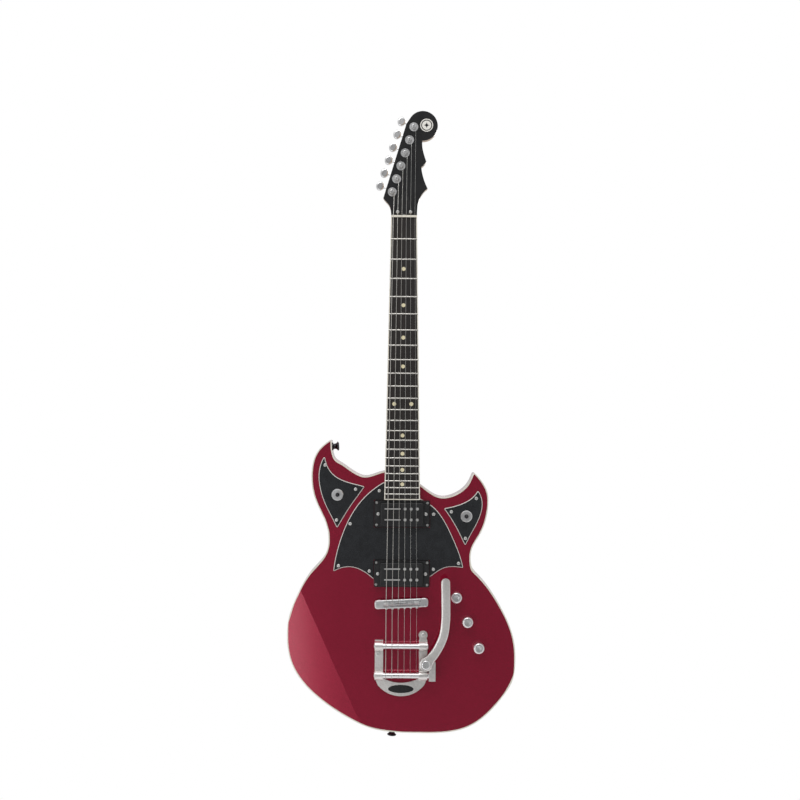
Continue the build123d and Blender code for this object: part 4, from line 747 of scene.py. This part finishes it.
# ---- strings ----
@dataclass
class StringSet:
    """Six strings from their posts over nut and saddles, under one bar and round the other.

    A bar is its place up the neck, its height and its radius. The crown's divisor is twice the radius of the
    fretboard's arch, and the winding's pitch and the turns' pitch are in radii of the wire.
    """

    radii: tuple[float, ...] = (0.58 * MM, 0.46 * MM, 0.33 * MM, 0.22 * MM, 0.17 * MM, 0.13 * MM)
    wound: int = 3
    nut_spread: float = 35.2 * MM
    bridge_spread: float = 50.0 * MM
    nut_depth: float = 3.3 * MM
    nut_height: float = 15.55 * MM
    saddle_height: float = 18.1 * MM
    crown_divisor: float = 0.61
    slant: float = math.radians(3.05)
    bridge_z: float = -631.25 * MM
    post_radius: float = 3.0 * MM
    wrap_height: float = 9.0 * MM
    tension_bar: tuple[float, float, float] = (-701.35 * MM, 10.0 * MM, 4.75 * MM)
    string_bar: tuple[float, float, float] = (-748.85 * MM, 12.0 * MM, 4.6 * MM)
    wrap_end: float = math.radians(215)
    wrap_gap: float = 0.1 * MM
    sides: int = 10
    bend_places: int = 22
    run_places: int = 8
    coil_places: int = 90
    coil_turns: float = 2.5
    coil_pitch: float = 2.1
    winding_pitch: float = 0.9

    def bend(self, bar: Point, reach: float, start: float, sweep: float, x: float) -> np.ndarray:
        """Arc round a bar: its centre plus the reach along each angle's cosine and sine.

        Args:
            bar: The bar's place, height and radius.
            reach: The arc's radius.
            start: Angle of its first place.
            sweep: Angle from its first place to its last.
            x: Where the string lies across the bar.

        Returns:
            The arc's places.
        """
        angle = start + sweep * np.linspace(0, 1, self.bend_places)
        z = bar[0] + reach * np.cos(angle)
        height = bar[1] + reach * np.sin(angle)
        return np.stack([np.full_like(z, x), -height, z], axis=-1)

    def route(self, index: int, post: np.ndarray) -> np.ndarray:
        """Places along one string: straight between its supports, and round where it bends on a bar.

        Args:
            index: The string's number from the bass side, from 0.
            post: Centre of its post.

        Returns:
            The route's places.
        """
        wire = self.radii[index]
        share = index / (len(self.radii) - 1) - 0.5
        x_nut = share * self.nut_spread
        x_saddle = share * self.bridge_spread
        nut = (x_nut, -(self.nut_height - x_nut**2 / self.crown_divisor + wire), self.nut_depth / 2)
        x_end = x_saddle * math.cos(self.slant)
        z_saddle = self.bridge_z + x_saddle * math.sin(self.slant)
        saddle_height = self.saddle_height - x_saddle**2 / self.crown_divisor + wire
        off_post = (post[0] + self.post_radius + self.wrap_gap + wire, -self.wrap_height, post[2])
        under = self.tension_bar[2] + self.wrap_gap + wire
        over = self.string_bar[2] + self.wrap_gap + wire
        back, drop = self.tension_bar[0] - z_saddle, self.tension_bar[1] - saddle_height
        first = math.atan2(drop, back) + math.pi + math.acos(under / math.hypot(back, drop))
        gap, rise = self.string_bar[0] - self.tension_bar[0], self.string_bar[1] - self.tension_bar[1]
        second = math.atan2(rise, gap) + math.acos((under + over) / math.hypot(gap, rise))
        turn = (second - first + math.pi) % (2 * math.pi) - math.pi
        start = (second - math.pi) % (2 * math.pi)
        stops = [np.array([off_post, nut]), np.array([(x_end, -saddle_height, z_saddle)])]
        stops.append(self.bend(self.tension_bar, under, first, turn, x_end))
        stops.append(self.bend(self.string_bar, over, start, self.wrap_end - start, x_end))
        corners = np.vstack(stops)
        steps = np.linspace(0, 1, self.run_places, endpoint=False)[:, None]
        runs = [a + (b - a) * steps for a, b in zip(corners[:-1], corners[1:])]
        return np.vstack(runs + [corners[-1:]])

    def build(self, shop: Workshop) -> None:
        """Makes each string with its turns round its post, and its tail round the string bar.

        Args:
            shop: The workshop, for finishes and the posts' places.
        """
        plain = shop.finishes["string_steel"]
        for index, wire in enumerate(self.radii):
            post = shop.centre(f"tuner_post_{index + 1}")
            path = self.route(index, post)
            around = self.post_radius + self.wrap_gap + wire
            rise = (self.wrap_height, self.wrap_height + self.coil_turns * self.coil_pitch * wire)
            coil = helix(tuple(post), around, rise, self.coil_turns, 0.0, self.coil_places)
            ring = oval(self.sides)
            skins = [
                carried(path, ring, np.full((len(path), 2), wire), (1, 0, 0)),
                carried(coil, ring, np.full((len(coil), 2), wire), (0, 1, 0)),
            ]
            finish = plain
            if index < self.wound:
                finish = WoundFinish(f"Wound string {index + 1}", wire * self.winding_pitch).build()
            piece = make_piece(f"string_{index + 1}", skins, finish)
            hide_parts("strings")
            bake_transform(piece)
            LOG.info("string %d, %.2f mm thick, %d faces", index + 1, 2 * wire / MM, len(piece.data.polygons))


# ---- vibrato ----
@dataclass
class Vibrato:
    """Lever and its coil spring.

    The lever leaves its eye at the eye's end, and narrows to the bar over the eye's ease. Its bends are
    millimetres from the pivot, to the treble side and up the neck. Where it closes at its tip it thins too,
    from the thinning width down to the thinnest share.
    """

    pivot: tuple[float, float] = (40.4 * MM, -728.95 * MM)
    arm_width: float = 14.4 * MM
    arm_thickness: float = 4.6 * MM
    arm_low: float = 20.4 * MM
    arm_rise: float = 11.0 * MM
    flat_run: float = 8.0 * MM
    rise_run: float = 142.0 * MM
    eye_radius: float = 10.8 * MM
    eye_end: float = 5.5 * MM
    eye_ease: float = 9.0 * MM
    thinning_width: float = 2.5 * MM
    thinnest: float = 0.25
    bends: tuple[Span, ...] = ((0, 0), (16.6, 21.5), (27.9, 46.0), (31.6, 72.5), (31.6, 104), (30.9, 135.0))
    tail_shares: Span = (0.998, 0.02)
    tip_angles: Span = (0.06, 0.5 * math.pi - 0.03)
    tail_places: int = 24
    plan_places: int = 220
    tip_places: int = 20
    arm_sides: int = 40
    arm_squareness: float = 4.5
    spring_radius: float = 3.9 * MM
    spring_wire: float = 0.85 * MM
    spring_low: float = 5.85 * MM
    spring_high: float = 14.3 * MM
    spring_turns: float = 4.5
    spring_start: float = 0.3
    spring_places: int = 180
    spring_sides: int = 12

    def arm(self, shop: Workshop) -> None:
        """Lever: a soft-edged bar's profile carried along a plan curve that rises smoothly to its tip.

        Its half width is the eye's circle near the pivot, the bar's own width along the run, and closes as
        half a circle at the tip. Its height is a cubic ease from the eye to the tip.

        Args:
            shop: The workshop, for the finish.
        """
        half_width, half_thickness = self.arm_width / 2, self.arm_thickness / 2
        plan = through(np.array(self.bends) * MM + np.array(self.pivot), self.plan_places)
        step = plan[1] - plan[0]
        step /= np.linalg.norm(step)
        tail = plan[0] - step * self.eye_radius * np.linspace(*self.tail_shares, self.tail_places)[:, None]
        last = plan[-1] - plan[-2]
        last /= np.linalg.norm(last)
        tip = plan[-1] + last * half_width * np.sin(np.linspace(*self.tip_angles, self.tip_places))[:, None]
        flat = np.vstack([tail, plan, tip])
        run = lengths(flat) - self.eye_radius
        end = run[-1] - half_width
        eye = np.sqrt(np.clip(self.eye_radius**2 - run**2, LEAST_SQUARE, None))
        bar = np.sqrt(np.clip(half_width**2 - np.clip(run - end, 0, None) ** 2, LEAST_SQUARE, None))
        ease = np.clip((run - self.eye_end) / self.eye_ease, 0, 1)
        neck = bar + (eye[np.searchsorted(run, self.eye_end)] - bar) * (1 - ease) ** 2
        wide = np.where(run < self.eye_end, eye, neck)
        share = np.clip((flat[:, 1] - self.pivot[1] - self.flat_run) / self.rise_run, 0, 1)
        height = self.arm_low + half_thickness + self.arm_rise * share**2 * (3 - 2 * share)
        path = np.stack([flat[:, 0], -height, flat[:, 1]], axis=-1)
        thick = half_thickness * np.clip(wide / self.thinning_width, self.thinnest, 1) ** 0.5
        profile = oval(self.arm_sides, self.arm_squareness)
        skin = carried(path, profile, np.stack([wide, thick], -1), (0, 1, 0))
        piece = make_piece("vibrato_lever_bar", [skin], shop.finishes["cast_metal"])
        shop.ride(piece, "vibrato_lever", "cast_metal", "vibrato_arm")

    def spring(self, shop: Workshop) -> None:
        """Coil spring: a round wire carried along a helix.

        Args:
            shop: The workshop, for the finish.
        """
        centre = (self.pivot[0], 0.0, self.pivot[1])
        rise, turns = (self.spring_low, self.spring_high), self.spring_turns
        path = helix(centre, self.spring_radius, rise, turns, self.spring_start, self.spring_places)
        wire = np.full((len(path), 2), self.spring_wire)
        skin = carried(path, oval(self.spring_sides), wire, (0, 1, 0))
        piece = make_piece("lever_coil_spring", [skin], shop.finishes["steel"])
        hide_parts("vibrato_spring")
        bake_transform(piece)
        LOG.info("coil spring, %.1f turns", self.spring_turns)


# ---- knobs ----
@dataclass
class Knobs:
    """Three domed metal knobs with a fluted grip.

    The foot is radius and height pairs from the knob's low end, and it ends at its high edge. The flutes
    fade in outwards from their inner radius, and downwards from their top, a drop below the knob's own.
    """

    names: tuple[str, ...] = ("volume", "tone", "contour")
    radius: float = 9.05 * MM
    low: float = 1.05 * MM
    high: float = 15.95 * MM
    flutes: int = 40
    flute_depth: float = 0.35 * MM
    flute_sides: int = 6
    flute_inner: float = 8.6 * MM
    flute_fade: float = 0.4 * MM
    flute_top: float = 4.2 * MM
    flute_top_fade: float = 1.0 * MM
    foot: tuple[Span, ...] = ((0.3 * MM, 0.0), (7.6 * MM, 0.0), (8.8 * MM, 0.1 * MM))
    foot_high: float = 0.5 * MM
    grip_low: float = 1.2 * MM
    shoulder_radius: float = 3.2 * MM
    dish_depth: float = 0.5 * MM
    grip_places: int = 10
    shoulder_places: int = 14
    dish_places: int = 12
    dish_hole: float = 0.02

    def profile(self) -> np.ndarray:
        """Radius and height pairs from the skirt up the grip, over the shoulder and across the dished top.

        Returns:
            The pairs, one a row.
        """
        shoulder_low = self.high - self.shoulder_radius
        top_radius = self.radius - self.shoulder_radius
        skirt = np.array([*self.foot, (self.radius, self.foot_high)]) + (0.0, self.low)
        rise = np.linspace(self.low + self.grip_low, shoulder_low, self.grip_places)
        grip = np.stack([np.full(self.grip_places, self.radius), rise], -1)
        angle = np.linspace(0, math.pi / 2, self.shoulder_places)
        quarter = np.stack([np.cos(angle), np.sin(angle)], -1)
        turn = (top_radius, shoulder_low) + self.shoulder_radius * quarter
        across = np.linspace(1, self.dish_hole, self.dish_places)
        dish = np.stack([top_radius * across, self.high - self.dish_depth * (1 - across**2) ** 2], -1)
        return np.vstack([skirt, grip, turn[1:], dish[1:]])

    def build(self, shop: Workshop) -> None:
        """Turns the profile about each knob's axis, with a flute's dip where the grip is.

        Args:
            shop: The workshop, for the finish and the knobs' places.
        """
        profile = self.profile()
        angle = np.linspace(0, 2 * math.pi, self.flutes * self.flute_sides, endpoint=False)
        grip = np.clip((profile[:, 0] - self.flute_inner) / self.flute_fade, 0, 1)
        grip *= np.clip((self.high - self.flute_top - profile[:, 1]) / self.flute_top_fade, 0, 1)
        dip = self.flute_depth * (0.5 - 0.5 * np.cos(self.flutes * angle)) ** 2
        reach = profile[:, 0, None] - grip[:, None] * dip[None, :]
        height = np.broadcast_to(profile[:, 1, None], reach.shape)
        for name in self.names:
            grid = round_axis(shop.centre(f"knob_{name}"), reach, angle, height)
            piece = make_piece(f"knob_{name}_turned", [rings(grid)], shop.finishes["chrome"])
            shop.ride(piece, f"knob_{name}_turn", "chrome", f"knob_{name}")


# ---- studio ----
@dataclass(frozen=True)
class SoftBox:
    """Rectangular lamp at a place, turned to its aim. Its size is metres and its power is watts."""

    name: str
    place: Point
    aim: Point
    size: Span
    power: float

    def build(self) -> None:
        """Hangs the lamp: it turns about its own cross axis by the aim's rise, then round the vertical."""
        data = bpy.data.lights.new(f"soft_box_{self.name}", "AREA")
        data.shape = "RECTANGLE"
        data.size, data.size_y = self.size
        data.energy = self.power
        lamp = bpy.data.objects.new(data.name, data)
        lamp.location = self.place
        x, y, z = np.array(self.aim) - np.array(self.place)
        lamp.rotation_euler = (math.pi / 2 + math.atan2(z, math.hypot(x, y)), 0, math.atan2(-x, y))
        bpy.context.scene.collection.objects.link(lamp)


@dataclass
class Studio:
    """Pale floor well below the hanging guitar, soft boxes, a light room and the camera."""

    camera_place: Point = (-0.0046, -2.2, -0.2985)
    frame_width: float = 1.306
    subject_height: float = 0.015
    roll: float = math.radians(-0.4)
    sensor: float = 36.0
    floor_drop: float = 0.55
    floor_half: float = 1.45
    floor_lines: int = 9
    floor_cloud: float = 3.0
    floor_dark: Colour = (0.86, 0.86, 0.86)
    floor_light: Colour = (0.92, 0.92, 0.92)
    floor_rough: float = 0.8
    room_white: float = 1.0
    room_side: float = 0.62
    room_front: float = 0.20
    front_headings: Span = (-0.96, -0.70)
    boxes: tuple[SoftBox, ...] = (
        SoftBox("key", (1.05, -1.30, -1.60), (0.0, 0.0, -0.55), (0.40, 0.40), 27.0),
        SoftBox("bevel", (-1.00, -2.1, -1.15), (-0.16, 0.0, -0.7), (0.9, 1.2), 6.2),
        SoftBox("top", (-0.4, -1.3, 1.30), (0.0, 0.0, -0.1), (1.4, 0.9), 16.0),
        SoftBox("back", (0.6, 2.0, 0.9), (0.0, 0.0, -0.4), (1.4, 1.4), 30.0),
    )

    def floor(self) -> None:
        """Flat square of floor with a faint mottle."""
        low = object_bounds()[0][2] - self.floor_drop
        side = np.linspace(-self.floor_half, self.floor_half, self.floor_lines)
        across, deep = np.meshgrid(side, side, indexing="ij")
        points = np.stack([across, deep, np.full_like(across, low)], -1).reshape(-1, 3)
        index = np.arange(self.floor_lines**2).reshape(self.floor_lines, self.floor_lines)
        quads = np.stack([index[:-1, :-1], index[1:, :-1], index[1:, 1:], index[:-1, 1:]], -1).reshape(-1, 4)
        mesh = bpy.data.meshes.new("studio_floor")
        mesh.from_pydata(points.tolist(), [], quads.tolist())
        material, w, shader = start_material("Pale floor")
        cloud = w.noise(w.add("ShaderNodeTexCoord").outputs["Object"], self.floor_cloud)
        w.join(w.mix(cloud, self.floor_dark, self.floor_light), shader["Base Color"])
        shader["Roughness"].default_value = self.floor_rough
        mesh.materials.append(material)
        floor = bpy.data.objects.new("studio_floor", mesh)
        bpy.context.scene.collection.objects.link(floor)
        floor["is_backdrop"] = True

    def room(self) -> None:
        """White surroundings that the camera sees, whose light is dim from the front and stronger elsewhere.

        A heading is the Y part of a direction into the room, so -1 is straight out of the playing face.
        """
        world = bpy.data.worlds.new("Studio")
        world.use_nodes = True
        w = Wiring(world.node_tree)
        shade = world.node_tree.nodes["Background"]
        seen = w.add("ShaderNodeLightPath").outputs["Is Camera Ray"]
        direction = w.add("ShaderNodeTexCoord").outputs["Generated"]
        heading = w.add("ShaderNodeSeparateXYZ", {0: direction}).outputs["Y"]
        lit = w.between(heading, self.front_headings, (self.room_front, self.room_side))
        w.join(w.between(seen, WHOLE, (lit, self.room_white)), shade.inputs["Strength"])
        shade.inputs["Color"].default_value = (1.0, 1.0, 1.0, 1.0)
        bpy.context.scene.world = world

    def camera(self) -> None:
        """Camera square to the playing face, with a slight roll."""
        data = bpy.data.cameras.new("camera")
        data.sensor_width = self.sensor
        data.lens = self.sensor * (-self.camera_place[1] - self.subject_height) / self.frame_width
        eye = bpy.data.objects.new("camera", data)
        eye.location = self.camera_place
        eye.rotation_euler = (math.pi / 2, self.roll, 0)
        bpy.context.scene.collection.objects.link(eye)
        bpy.context.scene.camera = eye

    def build(self) -> None:
        """Sets up the whole studio."""
        self.camera()
        self.floor()
        self.room()
        for box in self.boxes:
            box.build()
        bpy.context.scene.view_settings.view_transform = "Standard"


@dataclass
class Headstock:
    """Round badge let into the headstock's face."""

    emblem_radius: float = 10.6 * MM

    def build(self, shop: Workshop) -> None:
        """Dresses the badge in its drawn figure, round the badge's own middle."""
        centre = tuple(float(v) for v in shop.centre("headstock_emblem"))
        shop.dress("headstock_emblem", EmblemFinish("Round badge", centre, self.emblem_radius).build())


def main() -> None:
    """Builds every sub-assembly in order."""
    logging.basicConfig(level=logging.INFO, format="%(name)s: %(message)s")
    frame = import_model()
    shop = Workshop(frame)
    shop.dress_all()
    for assembly in (Headstock(), StringSet(), Knobs()):
        assembly.build(shop)
    vibrato = Vibrato()
    vibrato.arm(shop)
    vibrato.spring(shop)
    Studio().build()


if __name__ == "__main__":
    main()
